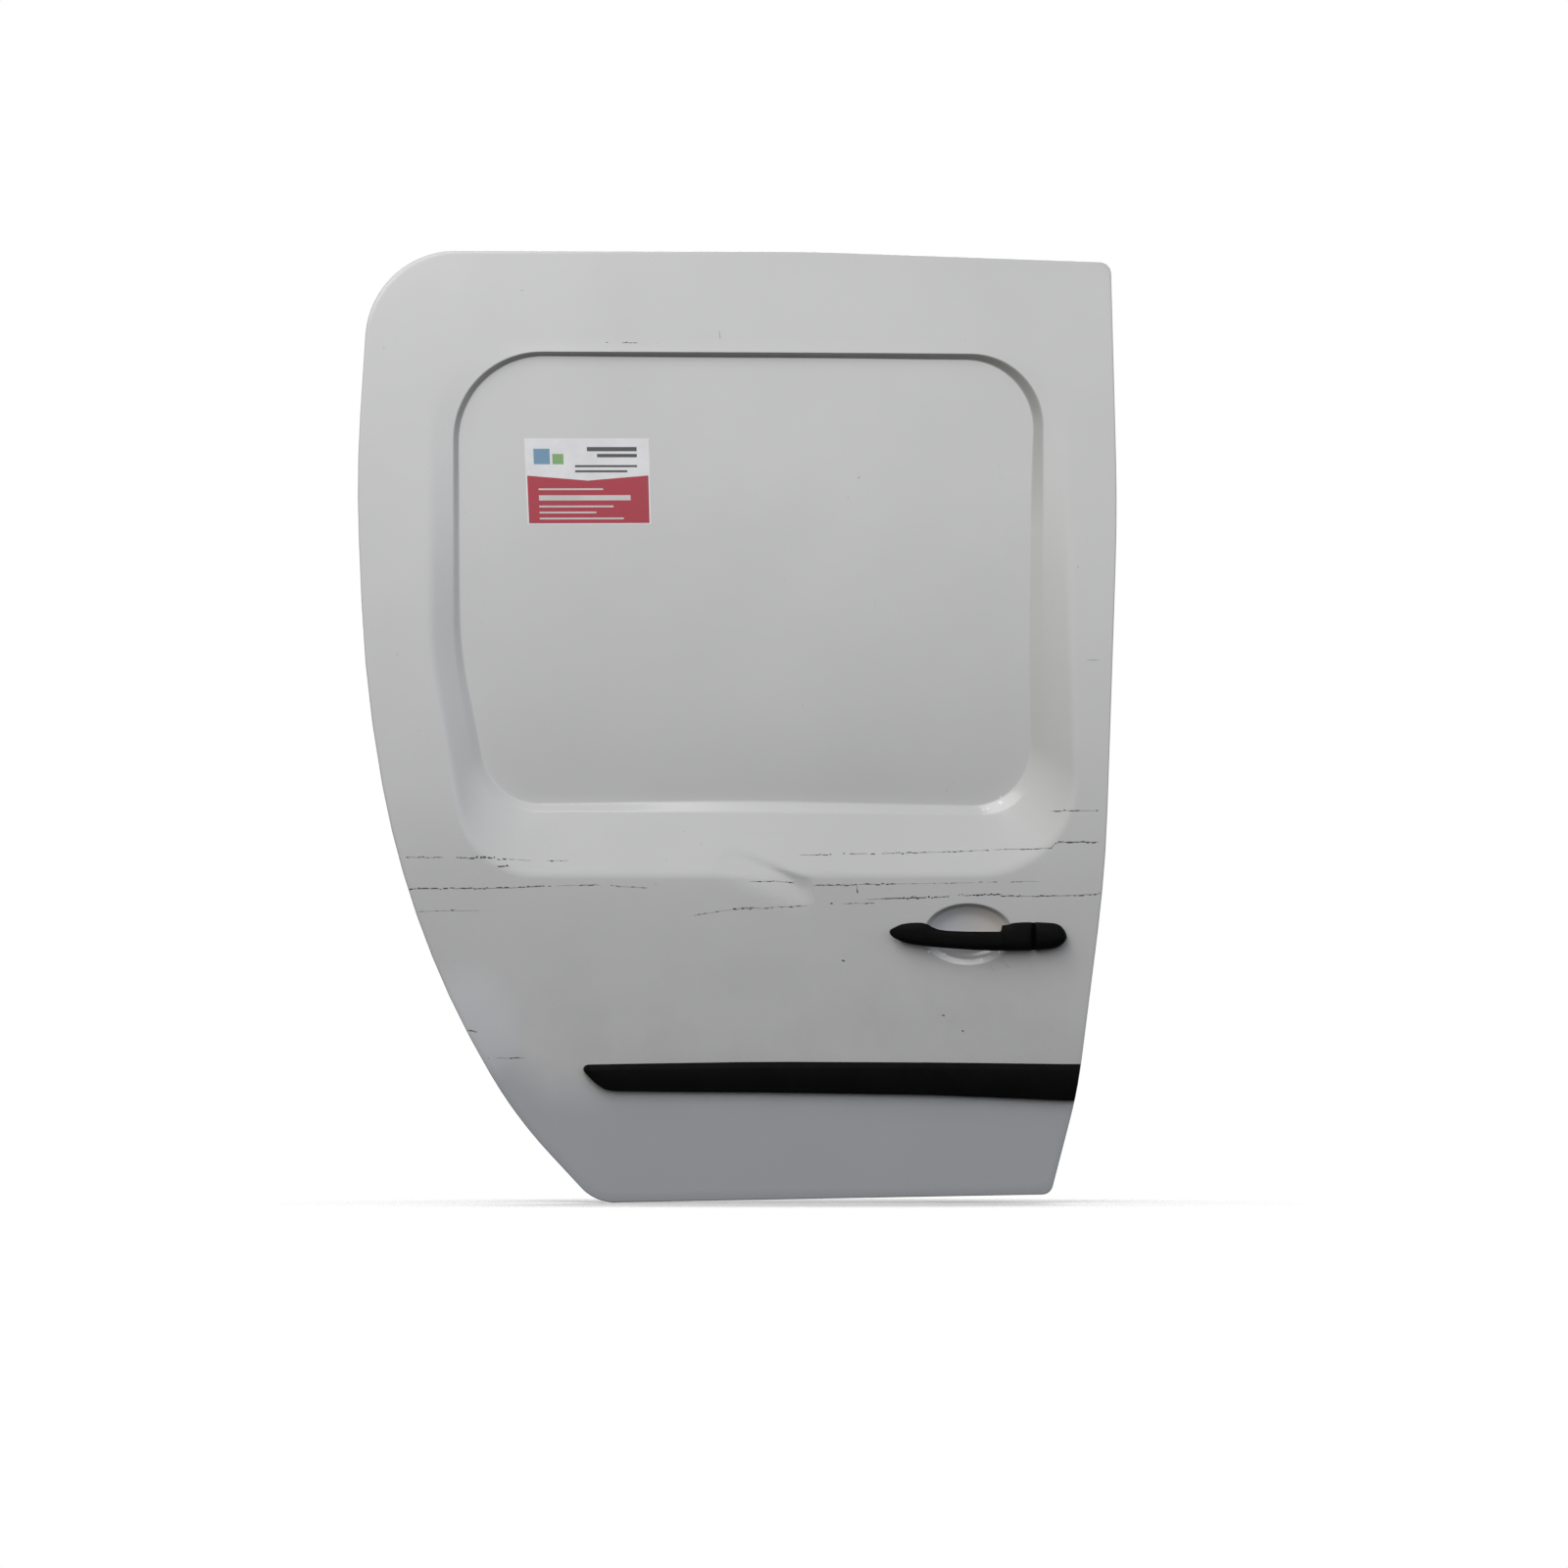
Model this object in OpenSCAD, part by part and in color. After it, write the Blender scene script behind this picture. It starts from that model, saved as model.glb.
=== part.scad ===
// Rear side sliding door leaf of a small panel van, blind version with a pressed window pan.
// Millimetres. X runs from the rear edge to the front edge, Z up, the outer face looks along -Y.
// The origin lies on the flat face of the centre hinge seat, inboard of the inner panel.

/* [Leaf] */
// Width of the leaf at its widest, rear edge to front edge
leaf_w = 955; // [930:1:985]
// Height of the leaf
leaf_h = 1202; // [1180:1:1230]
// Radius of the upright barrel curve of the outer skin
barrel_r = 3200; // [2800:10:4200]
// Height at which the barrel curve stands out furthest
barrel_z = 470; // [430:1:520]
// Sheet thickness of the outer skin
skin_t = 1; // [0.7:0.1:1.5]
// Width of the folded hem along the edge of the skin
hem_w = 11; // [8:0.5:14]

/* [Window pan] */
// How far inboard the pan floor is set
pan_set = 28; // [20:0.5:34]
// How much higher the pan floor has its furthest point than the skin
pan_lift = 113; // [80:1:130]
// Width of the bottom slope of the pan
pan_sill = 74; // [60:1:84]
// Width of the front slope of the pan
pan_front_slope = 44; // [36:1:52]
// Width of the rear slope of the pan
pan_rear_slope = 32; // [26:1:40]
// Width of the top slope of the pan
pan_top_slope = 18; // [12:1:30]
// Distance from the top edge of the leaf to the pan floor
pan_top_in = 134; // [127:1:162]
// Height of the lower edge of the pan floor
pan_low_z = 489; // [475:1:510]
// Distance from the rear edge of the leaf to the pan floor
pan_rear_x = 123; // [115:1:140]
// Distance from the front edge of the leaf to the pan floor
pan_front_in = 93; // [88:1:105]
// Depth of the small step round the pan floor
pan_step_d = 8; // [6:0.5:8.5]
// Width of the small step round the pan floor
pan_step_w = 4; // [3:0.5:6]

/* [Handle] */
// Height of the middle of the handle bowl
bowl_z = 340; // [330:1:350]
// Distance from the front edge of the leaf to the middle of the bowl
bowl_front_in = 187; // [180:1:200]
// Half the length of the bowl
bowl_half_l = 56; // [50:1:62]
// Half the height of the bowl
bowl_half_h = 38; // [34:1:42]
// Depth of the bowl
bowl_depth = 17; // [12:1:22]
// Gap between the back of the lever and the skin
lever_gap = 6; // [5:0.5:10]
// Thickness of the lever and the cap, back to front
lever_t = 19; // [16:0.5:24]
// Length of the lever from its pivot to its free end
lever_len = 152.4; // [146:0.2:156]
// Length of the point behind the pivot
lever_point = 26; // [20:1:28]
// Height of the lever at its highest place, over the pivot
lever_h = 35.5; // [32:0.5:38]
// How far the back of the lever is hollowed for the fingers
lever_hollow = 6; // [3:0.5:8]
// Gap between the free end of the lever and the cap
lever_end_gap = 5.2; // [5:0.1:8]
// Length of the fixed cap
cap_len = 39.6; // [34:0.2:46]
// Diameter of the lever pin
lever_pin_d = 4; // [3:0.5:5]
// Thickness of the lug that carries the pin
lug_t = 6; // [5:0.5:8]
// Side clearance of the lever on its lug
lug_clear = 0.4; // [0.3:0.1:0.8]

// Height of the middle of the handle
handle_z = 337; // [330:1:345]
// Distance from the front edge of the leaf to the front end of the cap
cap_front_in = 63; // [58:1:70]

/* [Side moulding] */
// Height of the lower edge of the moulding
moulding_z = 137; // [125:1:150]
// Height of the moulding at its rear end
moulding_h = 36; // [30:1:44]
// Distance from the rear edge of the leaf to the moulding
moulding_x = 283; // [275:1:300]
// Thickness of the moulding
moulding_t = 11; // [8:0.5:14]
// Width of the bevel along its top
moulding_bevel = 7; // [4:0.5:9]
// Adhesive layer between the moulding and the skin
tape_t = 0.3; // [0.2:0.1:0.8]

/* [Inner panel] */
// Sheet thickness of the inner panel
panel_t = 1; // [0.7:0.1:1.5]
// Depth of the inner face behind the outer skin
panel_depth = 62; // [56:1:72]
// Depth of the seal land behind the outer skin
land_depth = 20; // [16:1:26]
// Distance from the leaf edge to the seal land
land_inset = 28; // [26:1:32]
// Width of the seal land
land_w = 22; // [20:1:26]
// Radius of the corners of the inner panel
panel_corner_r = 40; // [25:1:60]
// Width of the turned lip round each aperture
lip_w = 7; // [5:0.5:10]
// Air between sheets that are folded together
fold_gap = 0.1; // [0.05:0.05:0.3]

/* [Apertures] */
// Height of the lower edge of the upper aperture
upper_ap_z = 575; // [560:1:600]
// Distance from the top edge of the leaf to the upper aperture
upper_ap_top_in = 157; // [150:1:180]
// Distance from the leaf edges to the upper aperture
upper_ap_in = 150; // [140:1:165]
// Height of the lower edge of the lower apertures
lower_ap_z = 165; // [155:1:180]
// Height of the lower apertures
lower_ap_h = 210; // [180:1:225]
// Width of the post between the lower apertures
lower_post_w = 60; // [45:1:80]
// Corner radius of the apertures
ap_r = 42; // [25:1:60]

/* [Centre hinge seat] */
// Distance from the rear edge of the leaf to the middle of the seat
seat_x = 140; // [132:1:150]
// Height of the middle of the seat
seat_z = 430; // [420:1:445]
// Width of the seat plate
seat_w = 92; // [84:1:100]
// Height of the seat plate
seat_h = 100; // [90:1:110]
// Thickness of the seat plate
seat_t = 4; // [3:0.5:6]
// Distance between the bolt holes along the leaf
seat_hole_x = 60; // [50:1:64]
// Distance between the bolt holes up the leaf
seat_hole_z = 64; // [54:1:70]
// Diameter of the bolt holes
seat_hole_d = 8.4; // [6.4:0.1:9]

/* [Beams] */
// Height of the middle of the waist beam
waist_z = 440; // [425:1:455]
// Height of the waist beam
waist_h = 70; // [56:1:80]
// Sheet thickness of the beams
beam_t = 1.2; // [1:0.1:2]
// Diameter of the side impact tube
tube_d = 30; // [26:1:34]
// Wall of the side impact tube
tube_wall = 2; // [1.5:0.5:3]
// Height of the side impact tube at its middle
tube_z = 270; // [250:1:290]
// Depth of the beams off the inner panel
beam_depth = 20; // [14:1:22]
// Width of the pan stiffener
stiff_w = 60; // [44:1:76]
// Diameter of the mastic pads between the pan and its stiffener
mastic_d = 24; // [18:1:30]

/* [Rollers] */
// Diameter of the upper and lower guide rollers
guide_roller_d = 26; // [22:1:30]
// Width of the guide rollers
guide_roller_w = 14; // [11:1:18]
// Diameter of the lower load roller
load_roller_d = 34; // [30:1:38]
// Width of the lower load roller
load_roller_w = 12; // [10:1:15]
// Diameter of the roller pins
roller_pin_d = 8; // [7:0.5:10]
// Running clearance of a roller on its pin
roller_clear = 0.3; // [0.2:0.1:0.5]
// Plate thickness of the roller arms
arm_t = 5; // [4:0.5:6]
// Reach of the upper arm inboard of the inner panel
upper_reach = 95; // [80:1:120]
// Reach of the lower arm inboard of the inner panel
lower_reach = 130; // [110:1:160]
// Distance from the front edge of the leaf to the middle of the upper arm
upper_arm_in = 160; // [155:1:185]
// Height of the upper arm over the upper aperture
upper_arm_up = 45; // [42:1:52]
// Distance from the front edge of the leaf to the middle of the lower arm
lower_arm_in = 195; // [190:1:215]
// Height of the lower arm
lower_arm_z = 100; // [95:1:105]
// Width of the foot of an arm
arm_foot_w = 110; // [100:1:118]
// Height of the foot of an arm
arm_foot_h = 54; // [48:1:58]
// Width of the neck of an arm
arm_neck_w = 48; // [40:1:52]
// Width of an arm where its roller sits
arm_end_w = 30; // [26:1:34]
// How far the upper roller sits in front of its arm
upper_ahead = 70; // [60:1:76]
// How far the lower guide roller sits in front of its arm
lower_ahead = 40; // [34:1:48]

/* [Locks] */
// Height of the front latch above the bottom
front_latch_z = 515; // [500:1:530]
// Height of the rear latch above the bottom
rear_latch_z = 640; // [620:1:660]
// Height of a latch housing
latch_h = 84; // [76:1:92]
// Depth of a latch housing, skin to inside
latch_d = 30; // [26:1:32]
// Length of a latch housing along the leaf
latch_l = 34; // [30:1:40]
// Height of the mouth of a latch
latch_mouth = 15; // [13:0.5:18]
// Diameter of the lock rods
rod_d = 5; // [4:0.5:6]
// Height of the lock rods
rod_z = 522; // [512:1:532]
// Width of the control plate
control_w = 120; // [100:1:130]
// Height of the control plate
control_h = 96; // [84:1:104]
// Distance from the front edge of the leaf to the middle of the control plate
control_front_in = 255; // [240:1:280]
// Thickness of the control plate
control_t = 2; // [1.5:0.5:3]
// Width of the box behind the control plate
box_w = 56; // [48:1:64]
// Height of the box behind the control plate
box_h = 26; // [22:1:30]
// Depth of the box behind the inner face
box_d = 22; // [18:1:26]
// Height of the inner handle bezel
bezel_h = 48; // [42:1:52]
// Depth of the inner handle bezel
bezel_d = 18; // [15:0.5:22]

/* [Seal and stops] */
// Width of the foot of the weatherstrip
seal_w = 12; // [10:0.5:14]
// Height of the weatherstrip over its land
seal_h = 16; // [12:0.5:20]
// Diameter of the bump stops
stop_d = 24; // [20:1:28]
// Height of the bump stops
stop_h = 18; // [14:1:24]
// Distance from the top edge of the leaf to the upper bump stop
upper_stop_in = 202; // [190:1:230]
// Height of the lower bump stop
lower_stop_z = 180; // [176:1:190]
// Distance from the top edge of the leaf to the guide wedge
wedge_in = 502; // [490:1:520]
// Width of the guide wedge
wedge_w = 24; // [20:1:28]
// Height of the guide wedge at its foot
wedge_h = 56; // [48:1:62]
// How far the guide wedge stands off the inner face
wedge_out = 22; // [18:1:26]

/* [Beads] */
// Height of the pressed beads of the inner panel
bead_d = 3; // [2:0.5:4]
// Width of the pressed beads
bead_w = 22; // [18:1:26]

/* [Hidden] */
$fn = 48;

// Clearance between faces that are mounted on each other
seat_clear = 0.3;

// Outer surface of the leaf at height z
function skin_y(z) = barrel_r - sqrt(barrel_r * barrel_r - (z - barrel_z) * (z - barrel_z));
// Pan floor at height z
function floor_y(z) = pan_set + barrel_r
  - sqrt(barrel_r * barrel_r - (z - barrel_z - pan_lift) * (z - barrel_z - pan_lift));

// Rounded path through corners [x, z, radius], with n steps in each corner or as many as keep it round
function unit(v) = v / norm(v);
function corner_arc(a, b, c, r, n) =
  let (u = unit(a - b), v = unit(c - b), half = acos(u * v) / 2, m = unit(u + v))
  let (centre = b + m * r / sin(half), s = b + u * r / tan(half) - centre)
  let (turn = (b - a)[0] * (c - b)[1] - (b - a)[1] * (c - b)[0] > 0 ? 1 : -1)
  let (sweep = (180 - 2 * half) * turn)
  let (steps = n > 0 ? n : max(2, ceil(abs(sweep) / (2 * acos(1 - 0.25 / r)))))
  [for (i = [0:steps]) let (q = sweep * i / steps)
    centre + [s[0] * cos(q) - s[1] * sin(q), s[0] * sin(q) + s[1] * cos(q)]];
function xz(c) = [c[0], c[1]];
function round_path(c, n = 0) =
  [for (i = [0:len(c) - 1])
    each corner_arc(xz(c[(i + len(c) - 1) % len(c)]), xz(c[i]), xz(c[(i + 1) % len(c)]), c[i][2], n)];

// Leaf outline: bottom front, front edge, top edge, rear edge and the wheel-arch curve
// The side curves keep their run when the leaf gets taller or lower
side_bow = pow(leaf_h / 1202, 2);
leaf_corners = [
  [298, 1, 56],
  [leaf_w - 83, 11.5, 14],
  [leaf_w - 49, leaf_h * 0.1198, 500 * side_bow],
  [leaf_w - 14.5, leaf_h * 0.3486, 1690 * side_bow],
  [leaf_w + 1, leaf_h * 0.7271, 2400 * side_bow],
  [leaf_w - 6.5, leaf_h - 15, 15],
  [leaf_w - 388, leaf_h - 1.5, 2500],
  [14.5, leaf_h, 114],
  [-3, leaf_h * 0.7621, 1500 * side_bow],
  [9, leaf_h * 0.5349, 1650 * side_bow],
  [46, leaf_h * 0.3686, 1080 * side_bow],
  [110, leaf_h * 0.2155, 1090 * side_bow],
  [198.5, leaf_h * 0.0903, 565 * side_bow]];

module leaf_outline(inset = 0, r = 0) {
  offset(r = r) offset(delta = -(inset + r)) polygon(round_path(leaf_corners));
}

// A shape drawn in X and Z, extruded from y0 to y1
module along_y(y0, y1) {
  translate([0, y1, 0]) rotate([90, 0, 0]) linear_extrude(y1 - y0) children();
}

// All that lies deeper than d behind the outer surface
round_fn = 480;
module inboard(d) {
  translate([-80, barrel_r, barrel_z]) rotate([0, 90, 0])
    cylinder(r = barrel_r - d, h = leaf_w + 160, $fn = round_fn);
}

module inboard_of_floor(d) {
  translate([-80, barrel_r + pan_set, barrel_z + pan_lift]) rotate([0, 90, 0])
    cylinder(r = barrel_r - d, h = leaf_w + 160, $fn = round_fn);
}

// Part of the children between the depths d0 and d1 behind the outer surface
module layer(d0, d1) {
  difference() {
    intersection() {
      children();
      inboard(d0);
    }
    inboard(d1);
  }
}

module rounded_rect(x0, z0, x1, z1, r) {
  polygon(round_path([[x0, z0, r], [x1, z0, r], [x1, z1, r], [x0, z1, r]], 5));
}

// Window pan: the lip on the skin and the lip on the floor, joined by straight slopes
pan_steps = 7;
pan_kink_z = pan_low_z + 206;
pan_kink = 38;
pan_top_z = leaf_h - pan_top_in;
upper_ap_h = leaf_h - upper_ap_top_in - upper_ap_z;
pan_floor_lip = round_path([
  [pan_rear_x + pan_kink, pan_low_z + 6, 78],
  [leaf_w - pan_front_in, pan_low_z, 81],
  [leaf_w - pan_front_in, pan_top_z - 4, 91],
  [pan_rear_x, pan_top_z, 110],
  [pan_rear_x, pan_kink_z, 500]], pan_steps);
pan_skin_lip = round_path([
  [pan_rear_x + pan_kink - pan_rear_slope + 14, pan_low_z - pan_sill, 99],
  [leaf_w - pan_front_in + pan_front_slope, pan_low_z - pan_sill, 123],
  [leaf_w - pan_front_in + pan_front_slope - 18, pan_top_z + pan_top_slope - 2, 111],
  [pan_rear_x - pan_rear_slope, pan_top_z + pan_top_slope, 117],
  [pan_rear_x - pan_rear_slope, pan_kink_z, 500]], pan_steps);

module pan_loft() {
  n = len(pan_floor_lip);
  outer = [for (p = pan_skin_lip) [p[0], skin_y(p[1]), p[1]]];
  inner = [for (p = pan_floor_lip) [p[0], floor_y(p[1]) - pan_step_d, p[1]]];
  a = [for (i = [0:n - 1]) outer[i] - 0.5 * (inner[i] - outer[i])];
  b = [for (i = [0:n - 1]) inner[i] + 0.15 * (inner[i] - outer[i])];
  mid_x = leaf_w / 2;
  mid_z = (pan_top_z + pan_low_z) / 2;
  points = concat(a, b, [[mid_x, skin_y(mid_z) - 90, mid_z], [mid_x, floor_y(mid_z) + 60, mid_z]]);
  faces = concat(
    [for (i = [0:n - 1]) let (j = (i + 1) % n) [i, j, n + i]],
    [for (i = [0:n - 1]) let (j = (i + 1) % n) [j, n + j, n + i]],
    [for (i = [0:n - 1]) let (j = (i + 1) % n) [2 * n, j, i]],
    [for (i = [0:n - 1]) let (j = (i + 1) % n) [2 * n + 1, n + i, n + j]]);
  polyhedron(points, faces);
}

// Handle bowl: a slice of a round bulb that is turned about a line along X
bowl_x = leaf_w - bowl_front_in;
bowl_off = (bowl_half_h * bowl_half_h / bowl_depth - bowl_depth) / 2;
bowl_bulb_r = bowl_off + bowl_depth;
bowl_arc_r = (bowl_half_l * bowl_half_l + bowl_depth * bowl_depth) / (2 * bowl_depth);
module bowl(d) {
  translate([bowl_x, skin_y(bowl_z) - bowl_off, bowl_z]) rotate([0, 90, 0]) rotate_extrude($fn = 96)
    intersection() {
      translate([bowl_bulb_r - bowl_arc_r, 0]) circle(r = bowl_arc_r + d, $fn = 180);
      translate([0, -100]) square([100, 200]);
    }
}

// All that lies inboard of the pressed surface, d deeper than the outer face and wider by spare all round
module pressed(d, spare) {
  difference() {
    intersection() {
      along_y(-2 - spare, 150 + spare) leaf_outline(-spare);
      inboard(d);
    }
    difference() {
      translate([0, d, 0]) pan_loft();
      inboard_of_floor(d - pan_step_d);
    }
    difference() {
      along_y(-60, 90) offset(delta = d - pan_step_w) polygon(pan_floor_lip);
      inboard_of_floor(d);
    }
    bowl(d);
  }
}

hem_t = 2 * skin_t + panel_t + 2 * fold_gap;
module outer_skin() color("white") {
  difference() {
    pressed(0, 0);
    pressed(skin_t, 4);
  }
  difference() {
    layer(skin_t, hem_t) along_y(-2, 150) leaf_outline();
    along_y(-3, 151) leaf_outline(skin_t);
  }
  difference() {
    layer(hem_t - skin_t, hem_t) along_y(-2, 150) leaf_outline();
    along_y(-3, 151) leaf_outline(hem_w);
  }
}

// Inner panel: flange in the hem, seal land and inner face, as one stepped pressing
flange_depth = skin_t + fold_gap;
face_inset = land_inset + land_w;
module stepped(g) {
  difference() {
    along_y(-2, 200) leaf_outline(skin_t + fold_gap);
    inboard(flange_depth + g);
  }
  difference() {
    along_y(-2, 200) leaf_outline(land_inset - g, panel_corner_r / 2);
    inboard(land_depth + g);
  }
  difference() {
    along_y(-2, 200) leaf_outline(face_inset - g, panel_corner_r);
    inboard(panel_depth + g);
  }
}

lower_post_x = 500;
module upper_aperture(grow) {
  rounded_rect(upper_ap_in - grow, upper_ap_z - grow, leaf_w - upper_ap_in + grow,
    upper_ap_z + upper_ap_h + grow, ap_r + grow);
}
module rear_lower_aperture(grow) {
  polygon(round_path([
    [295 - grow, lower_ap_z - grow, ap_r + grow],
    [lower_post_x - lower_post_w / 2 + grow, lower_ap_z - grow, ap_r + grow],
    [lower_post_x - lower_post_w / 2 + grow, lower_ap_z + lower_ap_h + grow, ap_r + grow],
    [225 - grow, lower_ap_z + lower_ap_h + grow, ap_r + grow]], 5));
}
module front_lower_aperture(grow) {
  rounded_rect(lower_post_x + lower_post_w / 2 - grow, lower_ap_z - grow, leaf_w - 140 + grow,
    lower_ap_z + lower_ap_h + grow, ap_r + grow);
}
module apertures(grow) {
  upper_aperture(grow);
  rear_lower_aperture(grow);
  front_lower_aperture(grow);
}

// Front and rear walls of the inner panel at a height, on their inner side
function edge_x(z, front) =
  let (path = round_path(leaf_corners), n = len(path))
  let (hits = [for (i = [0:n - 1]) let (a = path[i], b = path[(i + 1) % n])
    if ((a[1] - z) * (b[1] - z) <= 0 && a[1] != b[1]) a[0] + (b[0] - a[0]) * (z - a[1]) / (b[1] - a[1])])
  front ? max(hits) : min(hits);
stiff_x = 480;
front_wall_x = edge_x(front_latch_z - latch_h / 2, true) - face_inset;
rear_wall_x = edge_x(rear_latch_z - latch_h / 2, false) + face_inset;
latch_back = panel_depth - 4;
control_x = leaf_w - control_front_in;

// Pressed beads [x0, z0, x1, z1] and round holes [x, z, diameter] of the inner panel
top_band = leaf_h - upper_ap_top_in / 2 - bead_w / 2 - 28;
mid_band = (lower_ap_z + lower_ap_h + upper_ap_z) / 2;
beads = [
  [185, top_band, stiff_x - 55, top_band + bead_w],
  [stiff_x + 60, top_band, leaf_w - upper_arm_in - arm_foot_w / 2 - 25, top_band + bead_w],
  [96, upper_ap_z + 145, 96 + bead_w, leaf_h - 242],
  [leaf_w - 112, leaf_h - wedge_in + wedge_h / 2 + 42, leaf_w - 112 + bead_w, leaf_h - 202],
  [235, mid_band + 30, control_x - control_w / 2 - 45, mid_band + 30 + bead_w],
  [235, mid_band - 55, control_x - control_w / 2 - 45, mid_band - 55 + bead_w],
  [335, lower_arm_z - 8, 335 + 150, lower_arm_z - 8 + bead_w],
  [530, lower_arm_z - 8, leaf_w - lower_arm_in - arm_foot_w / 2 - 45, lower_arm_z - 8 + bead_w]];
panel_holes = [
  [145, top_band + 12, 20],
  [stiff_x, top_band + 14, 16],
  [76, upper_ap_z + 305, 10],
  [leaf_w - 80, upper_ap_z + 25, 14],
  [leaf_w - 130, upper_ap_z - 30, 22],
  [420, mid_band, 30],
  [560, mid_band, 14],
  [508, lower_arm_z + 4, 12],
  [leaf_w - 85, lower_ap_z + 185, 12]];
module bead_plan(b, g) {
  rounded_rect(b[0] - g, b[1] - g, b[2] + g, b[3] + g, bead_w / 2 - 1 + g);
}
module bead(b) {
  layer(panel_depth + bead_d, panel_depth + bead_d + panel_t) along_y(-2, 260) bead_plan(b, panel_t);
  layer(panel_depth, panel_depth + bead_d + panel_t) along_y(-2, 260) difference() {
    bead_plan(b, panel_t);
    bead_plan(b, 0);
  }
}

module inner_panel() color("gainsboro") {
  difference() {
    union() {
      layer(flange_depth, 200) difference() {
        stepped(panel_t);
        stepped(0);
      }
      difference() {
        layer(panel_depth - lip_w, panel_depth + panel_t / 2) along_y(-2, 200) apertures(panel_t);
        along_y(-3, 201) apertures(0);
      }
      for (b = beads) bead(b);
    }
    for (b = beads) layer(panel_depth - 2, panel_depth + bead_d) along_y(-2, 260) bead_plan(b, 0);
    for (h = panel_holes) along_y(panel_depth - 20, 200) translate([h[0], h[1]]) circle(d = h[2], $fn = 48);
    along_y(panel_depth - 20, 200) apertures(0);
    for (x = [-1, 1], z = [-1, 1])
      translate([seat_x + x * seat_hole_x / 2, 0, seat_z + z * seat_hole_z / 2]) rotate([-90, 0, 0])
        cylinder(d = seat_hole_d + 2, h = 200, $fn = 32);
    translate([front_wall_x - 4, skin_y(front_latch_z) + latch_back - latch_d - 1, front_latch_z - latch_mouth / 2 - 2])
      cube([8 + land_w, latch_d - 2, latch_mouth + 4]);
    along_y(panel_depth - 20, 200) rounded_rect(control_x - box_w / 2 - 3, rod_z - box_h / 2 - 3,
      control_x + box_w / 2 + 3, rod_z + box_h / 2 + 3, 5);
    translate([rear_wall_x - 4 - land_w, skin_y(rear_latch_z) + latch_back - latch_d - 1, rear_latch_z - latch_mouth / 2 - 2])
      cube([8 + land_w, latch_d - 2, latch_mouth + 4]);
  }
}

// Pressed channel behind the inner face: crown towards the skin, two walls and two flanges
panel_back = panel_depth - seat_clear;
module slot_rect(x0, z0, x1, z1) {
  translate([x0, z0]) square([x1 - x0, z1 - z0]);
}
module channel(x0, z0, x1, z1, side, flange) {
  wx = side[0] * beam_t;
  wz = side[1] * beam_t;
  fx = side[0] * flange;
  fz = side[1] * flange;
  layer(panel_back - beam_depth, panel_back - beam_depth + beam_t)
    along_y(-2, 200) slot_rect(x0, z0, x1, z1);
  layer(panel_back - beam_depth, panel_back) along_y(-2, 200) difference() {
    slot_rect(x0, z0, x1, z1);
    slot_rect(x0 + wx - side[1], z0 + wz - side[0], x1 - wx + side[1], z1 - wz + side[0]);
  }
  layer(panel_back - beam_t, panel_back) along_y(-2, 200) difference() {
    slot_rect(x0 - fx, z0 - fz, x1 + fx, z1 + fz);
    slot_rect(x0 - side[1], z0 - side[0], x1 + side[1], z1 + side[0]);
  }
}

// Waist beam under the pan
waist_x0 = edge_x(waist_z - waist_h / 2 - 12, false) + face_inset + 3;
waist_x1 = front_wall_x - seat_clear - latch_l - 6;
module waist_beam() color("silver") {
  channel(waist_x0, waist_z - waist_h / 2, waist_x1, waist_z + waist_h / 2, [0, 1], 12);
}

// Upright stiffener behind the pan, its ends on the inner panel above and below the upper aperture
stiff_over = 24;
module pan_stiffener() color("silver") {
  difference() {
    channel(stiff_x - stiff_w / 2, upper_ap_z - stiff_over, stiff_x + stiff_w / 2,
      upper_ap_z + upper_ap_h + stiff_over, [1, 0], 12);
    layer(panel_depth - lip_w - seat_clear, panel_depth + 2) along_y(-2, 200) difference() {
      upper_aperture(panel_t + seat_clear);
      upper_aperture(-seat_clear);
    }
  }
}
module pan_pad(z) {
  difference() {
    intersection() {
      along_y(0, 150) translate([stiff_x, z]) circle(d = mastic_d);
      inboard_of_floor(skin_t + seat_clear);
    }
    inboard(panel_back - beam_depth - seat_clear);
  }
}
module pan_pad_lower() color("dimgray") { pan_pad(upper_ap_z + 115); }
module pan_pad_upper() color("dimgray") { pan_pad(leaf_h - upper_ap_top_in - 115); }

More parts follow.
